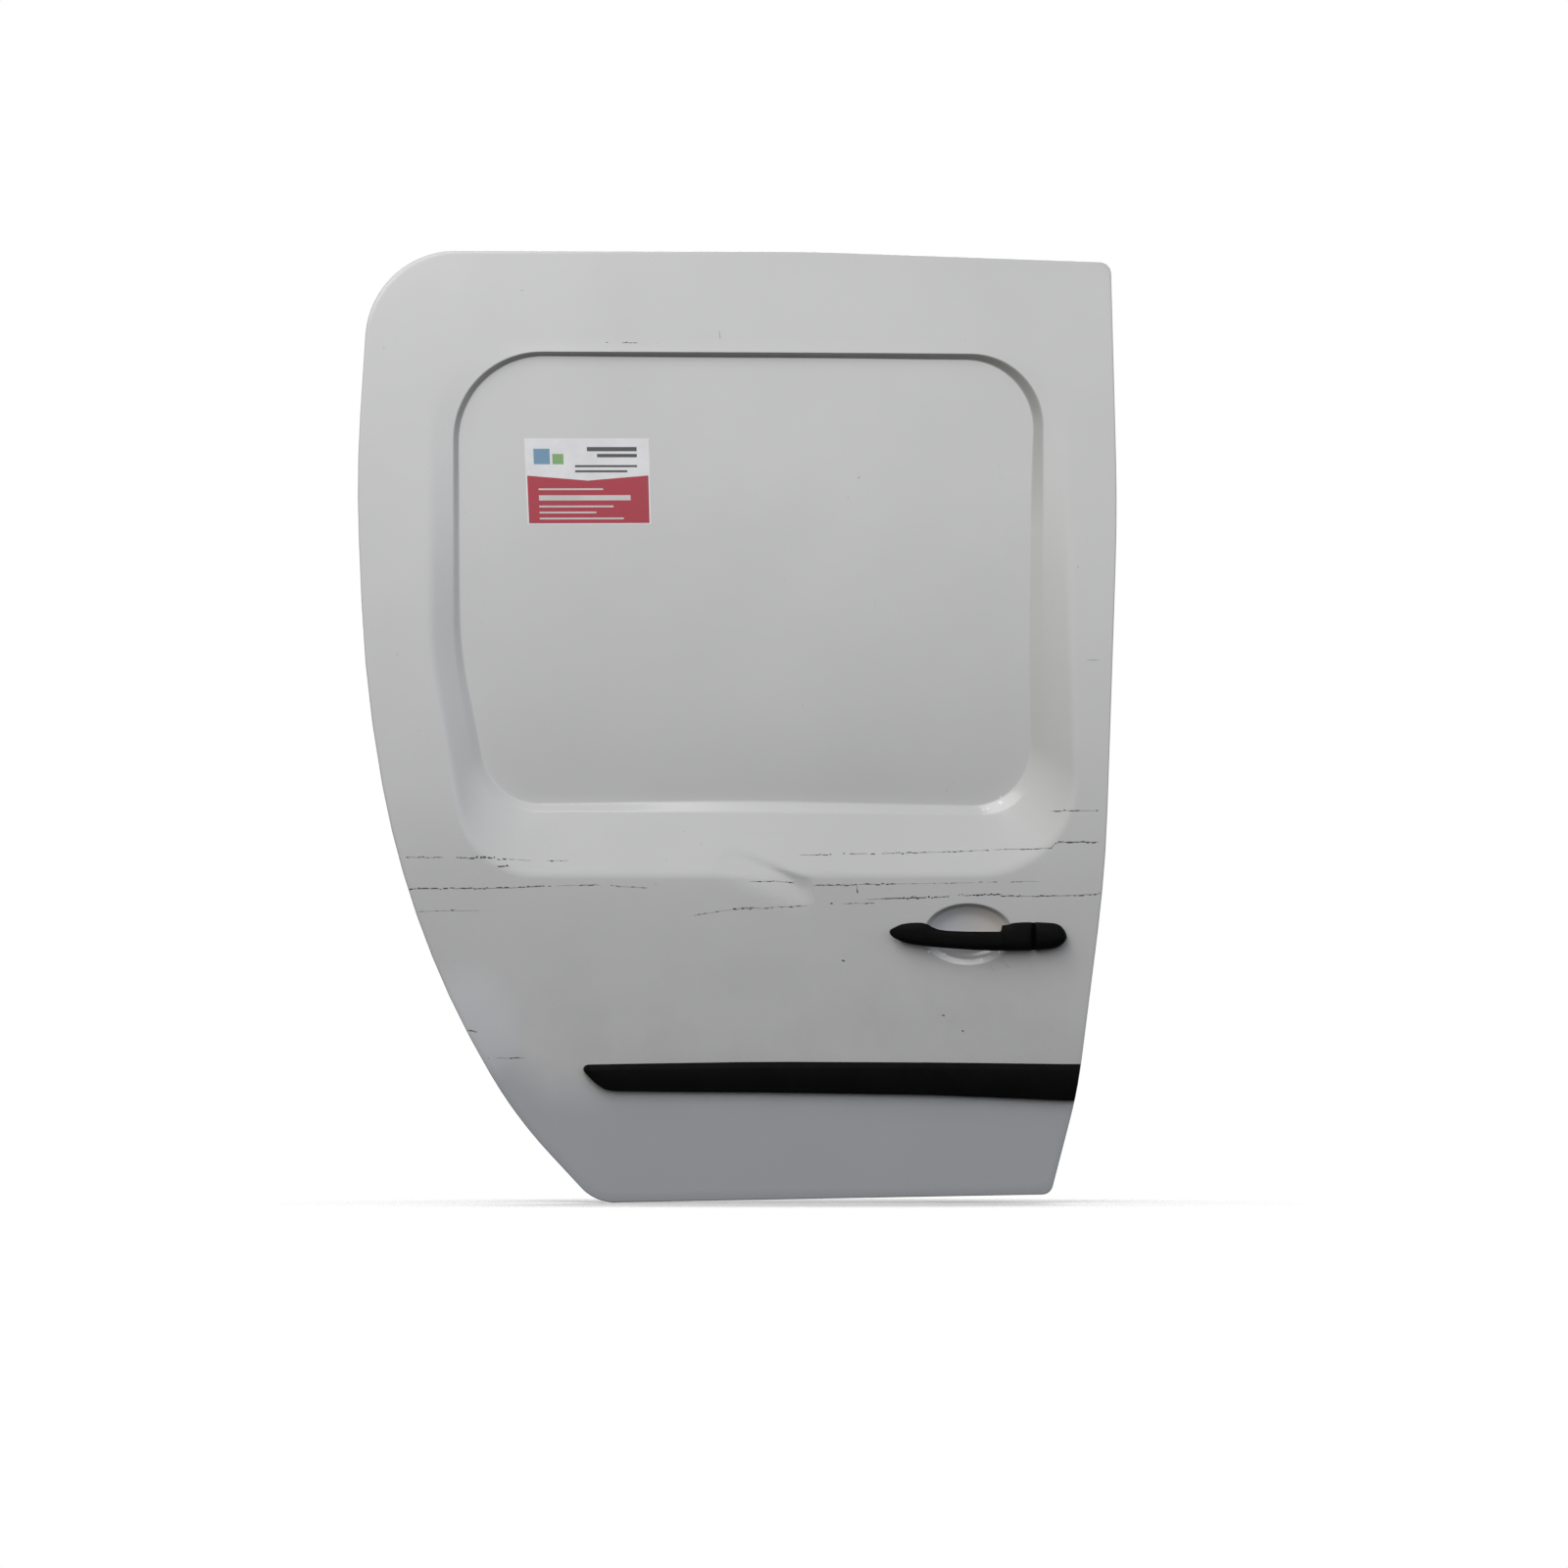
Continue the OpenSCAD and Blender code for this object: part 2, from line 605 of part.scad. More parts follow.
// Side impact tube on two brackets
tube_y = skin_y(tube_z) + panel_depth / 2;
tube_x0 = edge_x(tube_z - 30, false) + face_inset + 3;
tube_x1 = edge_x(tube_z - 30, true) - face_inset - 3;
module along_x(x0, x1) {
  translate([x0, 0, 0]) rotate([90, 0, 90]) linear_extrude(x1 - x0) children();
}
module impact_tube() color("dimgray") {
  along_x(tube_x0, tube_x1) translate([tube_y, tube_z]) difference() {
    circle(d = tube_d, $fn = 64);
    circle(d = tube_d - 2 * tube_wall, $fn = 64);
  }
}
bracket_t = 3;
bracket_l = 40;
module impact_bracket(x, dir) {
  foot_x = min(x, x + dir * bracket_l);
  difference() {
    layer(panel_back - bracket_t, panel_back)
      along_y(-2, 200) slot_rect(foot_x, tube_z - 28, foot_x + bracket_l, tube_z + 28);
  }
  difference() {
    intersection() {
      along_x(x + dir * 12 - bracket_t / 2, x + dir * 12 + bracket_t / 2)
        polygon([[tube_y - tube_d / 2 - 5, tube_z - 14], [tube_y, tube_z - 22], [200, tube_z - 28],
          [200, tube_z + 28], [tube_y, tube_z + 22], [tube_y - tube_d / 2 - 5, tube_z + 14]]);
      difference() {
        along_y(-2, 200) slot_rect(0, tube_z - 40, leaf_w, tube_z + 40);
        inboard(panel_back - bracket_t / 2);
      }
    }
    along_x(tube_x0 - 50, tube_x1 + 50) translate([tube_y, tube_z]) circle(d = tube_d + seat_clear, $fn = 64);
  }
}
module impact_bracket_rear() color("silver") { impact_bracket(tube_x0 + 4, 1); }
module impact_bracket_front() color("silver") { impact_bracket(tube_x1 - 4, -1); }

// Flat seat of the centre hinge, on the inner face near the rear edge
seat_back = skin_y(seat_z - seat_h / 2) + panel_depth + panel_t + 0.05;
seat_face = seat_back + seat_t;
module hinge_seat_plate() color("silver") {
  difference() {
    along_y(seat_back, seat_face)
      rounded_rect(seat_x - seat_w / 2, seat_z - seat_h / 2, seat_x + seat_w / 2, seat_z + seat_h / 2, 12);
    for (x = [-1, 1], z = [-1, 1])
      translate([seat_x + x * seat_hole_x / 2, seat_back - 5, seat_z + z * seat_hole_z / 2])
        rotate([-90, 0, 0]) cylinder(d = seat_hole_d, h = seat_t + 10, $fn = 48);
  }
}

// Pull handle
cap_x1 = leaf_w - cap_front_in;
cap_x0 = cap_x1 - cap_len;
lever_x1 = cap_x0 - lever_end_gap;
pivot_x = lever_x1 - lever_len;
lever_x0 = pivot_x - lever_point;
handle_skin = skin_y(handle_z);
lever_back = handle_skin - lever_gap;
lever_front = lever_back - lever_t;
pivot_r = 8;
pivot_y = lever_back - pivot_r;
lug_z = handle_z + 2.3;
crown_r = 26;
lever_grip_r = lever_len * 0.43;
module handle_crown() {
  along_x(lever_x0 - 5, cap_x1 + 5) translate([lever_front + crown_r, handle_z - 0.5]) circle(r = crown_r, $fn = 96);
}
module lever_front_view() {
  l = (lever_x1 - lever_x0) / 178.4;
  h = lever_h / 35.5;
  translate([lever_x0, handle_z]) scale([l, h]) offset(r = 2) offset(delta = -2)
    polygon([[0, 3.5], [0, 6.5], [20, 11.5], [44, 17.4], [54, 13.5], [64, 8.3], [78, 5.7], [137, 5.1],
      [142.5, 9], [143, 14], [155, 16.6], [178.4, 18.2], [178.4, -18.3], [142, -18.1],
      [101, -16.7], [68, -13.4], [43, -11], [18, -6.8], [5, 0.6]]);
}
module lever_plan() {
  polygon([[lever_x0, lever_back - 10], [lever_x0, lever_back - 14], [pivot_x, lever_front + 1.5],
    [pivot_x + 40, lever_front], [lever_x1 - 5, lever_front + 1], [lever_x1, lever_front + 4],
    [lever_x1, lever_back], [pivot_x, lever_back]]);
}
module handle_lever() color("black") {
  difference() {
    intersection() {
      along_y(lever_front - 1, lever_back + 1) lever_front_view();
      translate([0, 0, handle_z - 30]) linear_extrude(60) lever_plan();
      handle_crown();
    }
    translate([pivot_x + lever_grip_r, lever_back + lever_grip_r - lever_hollow, handle_z - 30])
      cylinder(r = lever_grip_r, h = 60, $fn = 96);
    translate([pivot_x - 8.5, lever_front + 4, lug_z - lug_t / 2 - lug_clear])
      cube([16, lever_t, lug_t + 2 * lug_clear]);
    translate([pivot_x, pivot_y, handle_z - 30]) cylinder(d = lever_pin_d + 0.3, h = 60, $fn = 32);
  }
}
module handle_pin() color("silver") {
  translate([pivot_x, pivot_y, lug_z - 8]) cylinder(d = lever_pin_d, h = 16, $fn = 32);
}
module handle_foot() color("black") {
  difference() {
    union() {
      layer(-2.5, -0.05) along_y(-60, 20) rounded_rect(pivot_x - 13, lug_z - 9, pivot_x + 13, lug_z + 9, 5);
      difference() {
        translate([0, 0, lug_z - lug_t / 2]) linear_extrude(lug_t) union() {
          translate([pivot_x, pivot_y]) circle(r = 4.8, $fn = 48);
          translate([pivot_x - 4, pivot_y]) square([8, pivot_r + lever_gap + 10]);
        }
        inboard(-0.05);
      }
    }
    translate([pivot_x, pivot_y, handle_z - 30]) cylinder(d = lever_pin_d + 0.1, h = 60, $fn = 32);
  }
}
cap_foot_t = 0.9;
cap_foot_l = 14;
module handle_cap() color("black") {
  difference() {
    intersection() {
      along_y(lever_front - 1, 20) polygon(round_path([
        [cap_x0, handle_z - 18.4, 3], [cap_x1 - 6, handle_z - 15, 14], [cap_x1, handle_z + 3, 12],
        [cap_x1 - 4, handle_z + 16.5, 9], [cap_x0, handle_z + 18.2, 4]], 6));
      handle_crown();
    }
    inboard(-0.05);
  }
  layer(-cap_foot_t, -0.05) along_y(-20, 20)
    rounded_rect(cap_x0 - cap_foot_l, handle_z - 17.5, cap_x0 + 8, handle_z + 17.4, 3);
}

// Side moulding on the lower part of the leaf
module moulding_view() {
  top = moulding_z + moulding_h;
  intersection() {
    polygon([[moulding_x, top - 3.3], [moulding_x + 4.4, top + 1.1], [moulding_x + 84, top + 2.6],
      [moulding_x + 228, top + 5], [moulding_x + 450, top + 4.2], [leaf_w - 5, top + 1.8],
      [leaf_w - 5, moulding_z - 8.5], [moulding_x + 450, moulding_z - 2], [moulding_x + 228, moulding_z + 1.6],
      [moulding_x + 43, moulding_z + 3], [moulding_x + 27, moulding_z + 6.3], [moulding_x + 13, moulding_z + 16]]);
    leaf_outline(0.5);
  }
}
module side_moulding() color("black") {
  top = moulding_z + moulding_h + 5;
  outer = skin_y(top) - moulding_t;
  difference() {
    layer(-moulding_t, -tape_t) along_y(-30, 60) moulding_view();
    along_x(moulding_x - 10, leaf_w + 10)
      polygon([[outer - 6, top - moulding_bevel], [outer, top - moulding_bevel],
        [outer + moulding_bevel, top + 3], [outer - 6, top + 3]]);
  }
}

// Weatherstrip on the seal land: a flat foot with a raised bulb
seal_foot_t = 4;
seal_inset = land_inset + (land_w - seal_w) / 2;
module ring(inset, w, r) {
  difference() {
    leaf_outline(inset, r);
    offset(delta = -w) leaf_outline(inset, r);
  }
}
module weatherstrip() color("black") {
  land = land_depth + panel_t + seat_clear;
  layer(land, land + seal_foot_t) along_y(-2, 200) ring(seal_inset, seal_w, panel_corner_r / 2);
  layer(land + seal_foot_t / 2, land + seal_h) along_y(-2, 200)
    ring(seal_inset + 2, seal_w - 4, panel_corner_r / 2);
}

// Upper arm with its guide roller
inner_face = panel_depth + panel_t + 0.05;
module on_face(x0, z0, x1, z1, t, r) {
  layer(inner_face, inner_face + t) along_y(-2, 260) rounded_rect(x0, z0, x1, z1, r);
}
upper_arm_z = upper_ap_z + upper_ap_h + upper_arm_up;
upper_arm_x = leaf_w - upper_arm_in;
upper_arm_y = skin_y(upper_arm_z) + inner_face;
upper_roller_x = upper_arm_x + upper_ahead;
upper_roller_y = upper_arm_y + upper_reach - arm_end_w / 2;
module roller_plan(x, reach, end_x, end_y) {
  hull() {
    translate([x - arm_foot_w / 2 + 10, 0]) square([arm_foot_w - 20, 1]);
    translate([x, reach * 0.4]) circle(d = arm_neck_w);
  }
  hull() {
    translate([x, reach * 0.4]) circle(d = arm_neck_w);
    translate([end_x, end_y]) circle(d = arm_end_w);
  }
}
module upper_arm() color("silver") {
  on_face(upper_arm_x - arm_foot_w / 2, upper_arm_z - arm_foot_h / 2 - 1, upper_arm_x + arm_foot_w / 2,
    upper_arm_z + arm_foot_h / 2 - 1, arm_t, 8);
  difference() {
    translate([0, upper_arm_y + 2, upper_arm_z - arm_t / 2]) linear_extrude(arm_t)
      roller_plan(upper_arm_x, upper_reach, upper_roller_x, upper_reach - arm_end_w / 2 - 2);
    translate([upper_roller_x, upper_roller_y, upper_arm_z - 20]) cylinder(d = roller_pin_d + 0.1, h = 40);
  }
}
module guide_pin(x, y, z) {
  translate([x, y, z - arm_t / 2 - 3]) cylinder(d = roller_pin_d + 6, h = 3 - 0.05);
  translate([x, y, z - arm_t / 2 - 3]) cylinder(d = roller_pin_d, h = arm_t + guide_roller_w + 8);
  translate([x, y, z + arm_t / 2 + guide_roller_w + 2]) cylinder(d = roller_pin_d + 5, h = 3);
}
module guide_roller(x, y, z) {
  translate([x, y, z + arm_t / 2 + 1]) rotate_extrude($fn = 72) difference() {
    translate([roller_pin_d / 2 + roller_clear, 0]) square([(guide_roller_d - roller_pin_d) / 2 - roller_clear, guide_roller_w]);
    translate([guide_roller_d / 2 + 26, guide_roller_w / 2]) circle(r = 28, $fn = 96);
  }
}
module upper_roller() color("dimgray") { guide_roller(upper_roller_x, upper_roller_y, upper_arm_z); }
module upper_roller_pin() color("silver") { guide_pin(upper_roller_x, upper_roller_y, upper_arm_z); }

// Lower arm with its guide roller and load roller
lower_arm_x = leaf_w - lower_arm_in;
lower_arm_y = skin_y(lower_arm_z) + inner_face;
lower_roller_x = lower_arm_x + lower_ahead;
lower_roller_y = lower_arm_y + lower_reach - arm_end_w / 2 - 3;
load_x = lower_arm_x - 10;
load_z = lower_arm_z + arm_t / 2 + load_roller_d / 2 + 1;
tab_back = 40;
tab_w = arm_end_w;
tab_y = lower_arm_y + lower_reach - tab_back;
module lower_arm() color("silver") {
  on_face(lower_arm_x - arm_foot_w / 2 - 15, lower_arm_z - arm_foot_h / 2 - 3, lower_arm_x + arm_foot_w / 2 + 5,
    lower_arm_z + arm_foot_h / 2 + 13, arm_t, 10);
  difference() {
    translate([0, lower_arm_y + 2, lower_arm_z - arm_t / 2]) linear_extrude(arm_t) union() {
      roller_plan(lower_arm_x, lower_reach, lower_roller_x, lower_reach - arm_end_w / 2 - 5);
      translate([load_x - tab_w / 2 - 3, lower_reach * 0.3])
        square([tab_w + 6, lower_reach * 0.7 - tab_back + arm_t - 2]);
    }
    translate([lower_roller_x, lower_roller_y, lower_arm_z - 20]) cylinder(d = roller_pin_d + 0.1, h = 40);
  }
  difference() {
    along_y(tab_y, tab_y + arm_t) hull() {
      translate([load_x - tab_w / 2, lower_arm_z - arm_t / 2]) square([tab_w, 4]);
      translate([load_x, load_z]) circle(d = tab_w - 6);
    }
    translate([load_x, tab_y - 5, load_z]) rotate([-90, 0, 0]) cylinder(d = roller_pin_d + 0.1, h = 20);
  }
}
module lower_guide_roller() color("dimgray") { guide_roller(lower_roller_x, lower_roller_y, lower_arm_z); }
module lower_guide_pin() color("silver") { guide_pin(lower_roller_x, lower_roller_y, lower_arm_z); }
module lower_load_roller() color("dimgray") {
  translate([load_x, tab_y + arm_t + 1, load_z]) rotate([-90, 0, 0]) difference() {
    cylinder(d = load_roller_d, h = load_roller_w, $fn = 96);
    translate([0, 0, -1]) cylinder(d = roller_pin_d + 2 * roller_clear, h = load_roller_w + 2);
  }
}
module lower_load_pin() color("silver") {
  translate([load_x, tab_y - 3, load_z]) rotate([-90, 0, 0]) {
    cylinder(d = roller_pin_d + 6, h = 3 - 0.05);
    cylinder(d = roller_pin_d, h = arm_t + load_roller_w + 8);
    translate([0, 0, arm_t + load_roller_w + 5]) cylinder(d = roller_pin_d + 5, h = 3);
  }
}

// Latches in the front and rear walls, each with an open mouth
module latch(x, z, dir) {
  yb = skin_y(z) + latch_back;
  x0 = min(x, x + dir * latch_l);
  difference() {
    along_y(yb - latch_d, yb) rounded_rect(x0, z - latch_h / 2, x0 + latch_l, z + latch_h / 2, 6);
    along_y(yb - latch_d - 1, yb + 1)
      rounded_rect(min(x - dir * 8, x + dir * 22), z - latch_mouth / 2, max(x - dir * 8, x + dir * 22), z + latch_mouth / 2, 7);
  }
}
module front_latch() color("gold") { latch(front_wall_x - seat_clear, front_latch_z, -1); }
module rear_latch() color("gold") { latch(rear_wall_x + seat_clear, rear_latch_z, 1); }

// Lock rods between the control box and the latches
rod_y = skin_y(rod_z) + 50;
front_latch_in = front_wall_x - seat_clear - latch_l;
module front_rod() color("silver") {
  translate([control_x + box_w / 2 + seat_clear, rod_y, rod_z]) rotate([0, 90, 0])
    cylinder(d = rod_d, h = front_latch_in - control_x - box_w / 2 - 2 * seat_clear, $fn = 24);
}
rear_rod_x = rear_wall_x + seat_clear + latch_l / 2;
rear_rod_top = rear_latch_z - latch_h / 2 - seat_clear;
module rear_rod() color("silver") {
  translate([rear_rod_x, rod_y, rod_z]) rotate([0, 90, 0])
    cylinder(d = rod_d, h = control_x - box_w / 2 - rear_rod_x - seat_clear, $fn = 24);
  translate([rear_rod_x, rod_y, rod_z]) sphere(d = rod_d, $fn = 24);
  translate([rear_rod_x, rod_y, rod_z]) cylinder(d = rod_d, h = rear_rod_top - rod_z, $fn = 24);
}

// Control plate with its box behind the panel, the inner handle and its bezel
control_top = rod_z + box_h / 2 + 12;
module control_plate() color("silver") {
  on_face(control_x - control_w / 2, control_top - control_h, control_x + control_w / 2, control_top, control_t, 6);
  layer(panel_depth - box_d, inner_face + control_t / 2)
    along_y(-2, 200) slot_rect(control_x - box_w / 2, rod_z - box_h / 2, control_x + box_w / 2, rod_z + box_h / 2);
}
bezel_z = control_top - bezel_h / 2 - 10;
bezel_half = control_w / 2 - 8;
bezel_in = bezel_half - 5;
module bezel_plan(half_w, half_h, r) {
  rounded_rect(control_x - half_w, bezel_z - half_h, control_x + half_w, bezel_z + half_h, r);
}
module inner_bezel() color("black") {
  difference() {
    layer(inner_face + control_t + 0.05, inner_face + control_t + bezel_d)
      along_y(-2, 260) bezel_plan(bezel_half, bezel_h / 2, 10);
    layer(inner_face + control_t + 4, inner_face + control_t + bezel_d + 10)
      along_y(-2, 260) bezel_plan(bezel_in, bezel_h / 2 - 5, 7);
  }
}
inner_grip_h = bezel_h - 18;
module inner_handle() color("black") {
  root = inner_face + control_t + 4.05;
  layer(root, root + bezel_d - 2.05)
    along_y(-2, 260) rounded_rect(control_x + 14, bezel_z - inner_grip_h / 2, control_x + 26, bezel_z + inner_grip_h / 2, 4);
  layer(root + bezel_d / 2 - 1.05, root + bezel_d - 2.05) along_y(-2, 260)
    rounded_rect(control_x - bezel_in + 9, bezel_z - inner_grip_h / 2, control_x + 26, bezel_z + inner_grip_h / 2, 5);
}

// Bump stops and guide wedge on the inner face
module bump_stop(x, z) {
  lean = asin((z - barrel_z) / barrel_r);
  translate([x, skin_y(z), z]) rotate([-90 - lean, 0, 0]) translate([0, 0, inner_face]) {
    cylinder(d = stop_d, h = stop_h - 6);
    translate([0, 0, stop_h - 6]) cylinder(d1 = stop_d, d2 = stop_d - 8, h = 6);
  }
}
upper_stop_z = leaf_h - upper_stop_in;
stop_rear_x = edge_x(upper_stop_z, false) + face_inset + 20;
stop_low_x = edge_x(lower_stop_z, true) - face_inset - 18;
module bump_stop_upper() color("black") { bump_stop(stop_rear_x, upper_stop_z); }
module bump_stop_lower() color("black") { bump_stop(stop_low_x, lower_stop_z); }
wedge_z = leaf_h - wedge_in;
wedge_x = edge_x(wedge_z, true) - face_inset - 34;
wedge_y = skin_y(wedge_z) + inner_face + wedge_out;
module guide_wedge() color("dimgray") {
  difference() {
    along_x(wedge_x - wedge_w / 2, wedge_x + wedge_w / 2) polygon([[20, wedge_z - wedge_h / 2],
      [wedge_y, wedge_z - wedge_h / 2 + 12], [wedge_y, wedge_z + wedge_h / 2 - 12], [20, wedge_z + wedge_h / 2]]);
    difference() {
      translate([wedge_x - wedge_w, -100, wedge_z - wedge_h]) cube([2 * wedge_w, 300, 2 * wedge_h]);
      inboard(inner_face);
    }
  }
}

module placed() {
  translate([-seat_x, -seat_face, -seat_z]) children();
}
placed() outer_skin();
placed() inner_panel();
placed() waist_beam();
placed() pan_stiffener();
placed() impact_tube();
placed() impact_bracket_rear();
placed() impact_bracket_front();
placed() hinge_seat_plate();
placed() handle_foot();
placed() handle_cap();
placed() handle_lever();
placed() handle_pin();
placed() side_moulding();
placed() weatherstrip();
placed() upper_arm();
placed() upper_roller();
placed() upper_roller_pin();
placed() lower_arm();
placed() lower_guide_roller();
placed() lower_guide_pin();
placed() lower_load_roller();
placed() lower_load_pin();
placed() front_latch();
placed() rear_latch();
placed() front_rod();
placed() rear_rod();
placed() control_plate();
placed() inner_bezel();
placed() inner_handle();
placed() bump_stop_upper();
placed() bump_stop_lower();
placed() guide_wedge();
placed() pan_pad_lower();
placed() pan_pad_upper();
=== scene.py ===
"""Rear side sliding door leaf of a small van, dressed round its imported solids."""

import math
import random

import bmesh
import bpy
from bpy.props import FloatProperty, FloatVectorProperty, IntProperty, PointerProperty
from mathutils import Matrix, Vector


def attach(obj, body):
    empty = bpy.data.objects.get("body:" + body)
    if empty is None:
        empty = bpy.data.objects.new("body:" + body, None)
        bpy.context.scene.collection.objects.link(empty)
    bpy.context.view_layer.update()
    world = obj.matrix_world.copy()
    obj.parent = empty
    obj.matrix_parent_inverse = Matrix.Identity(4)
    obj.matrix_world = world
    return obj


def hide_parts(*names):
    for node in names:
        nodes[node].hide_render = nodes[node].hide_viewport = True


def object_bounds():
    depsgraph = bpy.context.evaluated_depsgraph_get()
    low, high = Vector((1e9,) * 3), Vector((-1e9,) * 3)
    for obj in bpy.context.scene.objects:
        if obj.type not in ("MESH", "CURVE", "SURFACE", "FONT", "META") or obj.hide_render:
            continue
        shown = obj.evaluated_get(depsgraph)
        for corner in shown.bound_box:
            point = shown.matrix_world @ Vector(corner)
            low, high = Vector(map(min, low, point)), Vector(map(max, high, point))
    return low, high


bl_info = {
    "name": "Sliding door leaf",
    "version": (1, 0, 0),
    "blender": (4, 5, 0),
    "location": "View3D > Sidebar > Door leaf",
    "description": "Dresses the solids of a side sliding door leaf",
    "category": "Add Mesh",
}

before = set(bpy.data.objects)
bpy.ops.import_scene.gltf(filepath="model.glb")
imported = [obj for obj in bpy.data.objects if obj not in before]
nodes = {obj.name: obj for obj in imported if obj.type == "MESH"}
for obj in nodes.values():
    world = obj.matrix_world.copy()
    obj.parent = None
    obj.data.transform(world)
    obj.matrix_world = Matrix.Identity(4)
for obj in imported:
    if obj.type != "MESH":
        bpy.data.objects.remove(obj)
cad_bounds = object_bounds()

# Leaf measures in millimetres: X from the rear edge, Z from the lower edge, Y inboard from the outermost skin
LEAF_W = 955.0
LEAF_H = 1202.0
BARREL_R = 3200.0
BARREL_Z = 470.0
PAN_SET = 28.0
PAN_LIFT = 113.0
SKIN_T = 1.0
HEM_T = 3.2
PANEL_DEPTH = 62.0
PANEL_T = 1.0
SEAT_X = 140.0
SEAT_Z = 430.0
SEAT_LOW = SEAT_Z - 50.0
SEAT_T = 4.0
FIT = 0.05

# Outline corners of the leaf: X, Z and radius
LEAF_CORNERS = [
    (298, 1, 56),
    (LEAF_W - 83, 11.5, 14),
    (LEAF_W - 49, LEAF_H * 0.1198, 500),
    (LEAF_W - 14.5, LEAF_H * 0.3486, 1690),
    (LEAF_W + 1, LEAF_H * 0.7271, 2400),
    (LEAF_W - 6.5, LEAF_H - 15, 15),
    (LEAF_W - 388, LEAF_H - 1.5, 2500),
    (14.5, LEAF_H, 114),
    (-3, LEAF_H * 0.7621, 1500),
    (9, LEAF_H * 0.5349, 1650),
    (46, LEAF_H * 0.3686, 1080),
    (110, LEAF_H * 0.2155, 1090),
    (198.5, LEAF_H * 0.0903, 565),
]

# Pan: the edge of its floor and the edge on the skin
PAN_TOP = LEAF_H - 134
PAN_LOW = 489.0
FLOOR_EDGE = [
    (158, PAN_LOW + 6, 78),
    (LEAF_W - 93, PAN_LOW, 81),
    (LEAF_W - 93, PAN_TOP + 2.0, 91),
    (120, PAN_TOP + 5.5, 110),
    (120, 695, 500),
]
SKIN_EDGE = [
    (143, PAN_LOW - 74, 99),
    (LEAF_W - 49, PAN_LOW - 74, 123),
    (LEAF_W - 67, PAN_TOP + 16, 111),
    (91, PAN_TOP + 18, 117),
    (91, 695, 500),
]
PAN_X = 492.0
PAN_Z = 780.0
PAN_CENTRE = Vector((PAN_X, PAN_Z))

# Handle bowl, lever and cap
BOWL_X = LEAF_W - 187
BOWL_Z = 340.0
BOWL_HALF_L = 56.0
BOWL_HALF_H = 38.0
BOWL_DEPTH = 17.0
BOWL_WALL = 3.5
BOWL_TURN = 16.0
BOWL_RIM = 1.0
HANDLE_Z = 337.0
CAP_L = 39.6
CAP_END = LEAF_W - 63
CAP_START = CAP_END - CAP_L
LEVER_L = 178.4
LEVER_GAP = 6.0
LEVER_T = 19.0
SEAM = 5.2
LEVER_END = CAP_START - SEAM
LEVER_START = LEVER_END - LEVER_L

# Scale of the photo, and where the rear edge and the lower edge of the leaf lie in it
MM_PER_PIXEL = 1.235
PHOTO_REAR = 366
PHOTO_LOW = 1228

# Crease in the lower slope of the pan: photo points, depth, and how far it fades above and below its line
DENT = [(738, 871.5), (760, 878), (780, 886), (798, 892.5), (815, 900.5), (830, 906)]
DENT_DEPTH = 2.9
DENT_ABOVE = 7.0
DENT_BELOW = 17.0


def skin_y(z):
    """Depth of the outer surface at height z."""
    return BARREL_R - math.sqrt(BARREL_R ** 2 - (z - BARREL_Z) ** 2)


def floor_y(z):
    """Depth of the pan floor at height z."""
    return PAN_SET + BARREL_R - math.sqrt(BARREL_R ** 2 - (z - BARREL_Z - PAN_LIFT) ** 2)


SEAT_FACE = skin_y(SEAT_LOW) + PANEL_DEPTH + PANEL_T + FIT + SEAT_T
LEVER_BACK = skin_y(HANDLE_Z) - LEVER_GAP
LEVER_FRONT = LEVER_BACK - LEVER_T


def at(x, y, z):
    """A point of the leaf in the row frame, in metres."""
    return Vector(((x - SEAT_X) / 1000.0, (y - SEAT_FACE) / 1000.0, (z - SEAT_Z) / 1000.0))


def rounded(corners, step=3.0):
    """Closed outline through corners (x, z, radius), with arcs of about step degrees."""
    outline = []
    count = len(corners)
    for i, corner in enumerate(corners):
        before = Vector(corners[i - 1][:2])
        here = Vector(corner[:2])
        after = Vector(corners[(i + 1) % count][:2])
        back = (before - here).normalized()
        ahead = (after - here).normalized()
        half = back.angle(ahead) / 2.0
        centre = here + (back + ahead).normalized() * corner[2] / math.sin(half)
        start = here + back * corner[2] / math.tan(half) - centre
        sweep = math.pi - 2.0 * half
        if (here - before).cross(after - here) < 0:
            sweep = -sweep
        steps = max(3, math.ceil(abs(math.degrees(sweep)) / step))
        for k in range(steps + 1):
            outline.append(centre + Matrix.Rotation(sweep * k / steps, 2) @ start)
    return outline


def reach(outline, angle):
    """Distance from the middle of the pan to an outline in one direction."""
    ray = Vector((math.cos(angle), math.sin(angle)))
    best = 0.0
    for i, a in enumerate(outline):
        b = outline[(i + 1) % len(outline)]
        edge = b - a
        cross = ray.cross(edge)
        if abs(cross) < 1e-9:
            continue
        away = (a - PAN_CENTRE).cross(edge) / cross
        share = (a - PAN_CENTRE).cross(ray) / cross
        if away > 0 and -1e-6 <= share <= 1.000001:
            best = max(best, away)
    return best


def ramp(x, width):
    """Zero before x = 0 and x after it, with a round change over the width."""
    if x <= -width / 2:
        return 0.0
    if x >= width / 2:
        return x
    return (x + width / 2) ** 2 / (2 * width)


LEAF_OUTLINE = rounded(LEAF_CORNERS)
FLOOR_OUTLINE = rounded(FLOOR_EDGE)
SKIN_OUTLINE = rounded(SKIN_EDGE)


def from_photo(u, v):
    """Leaf X and Z of a place that was measured in the photo's pixels."""
    return Vector(((u - PHOTO_REAR) * MM_PER_PIXEL, (PHOTO_LOW - v) * MM_PER_PIXEL))


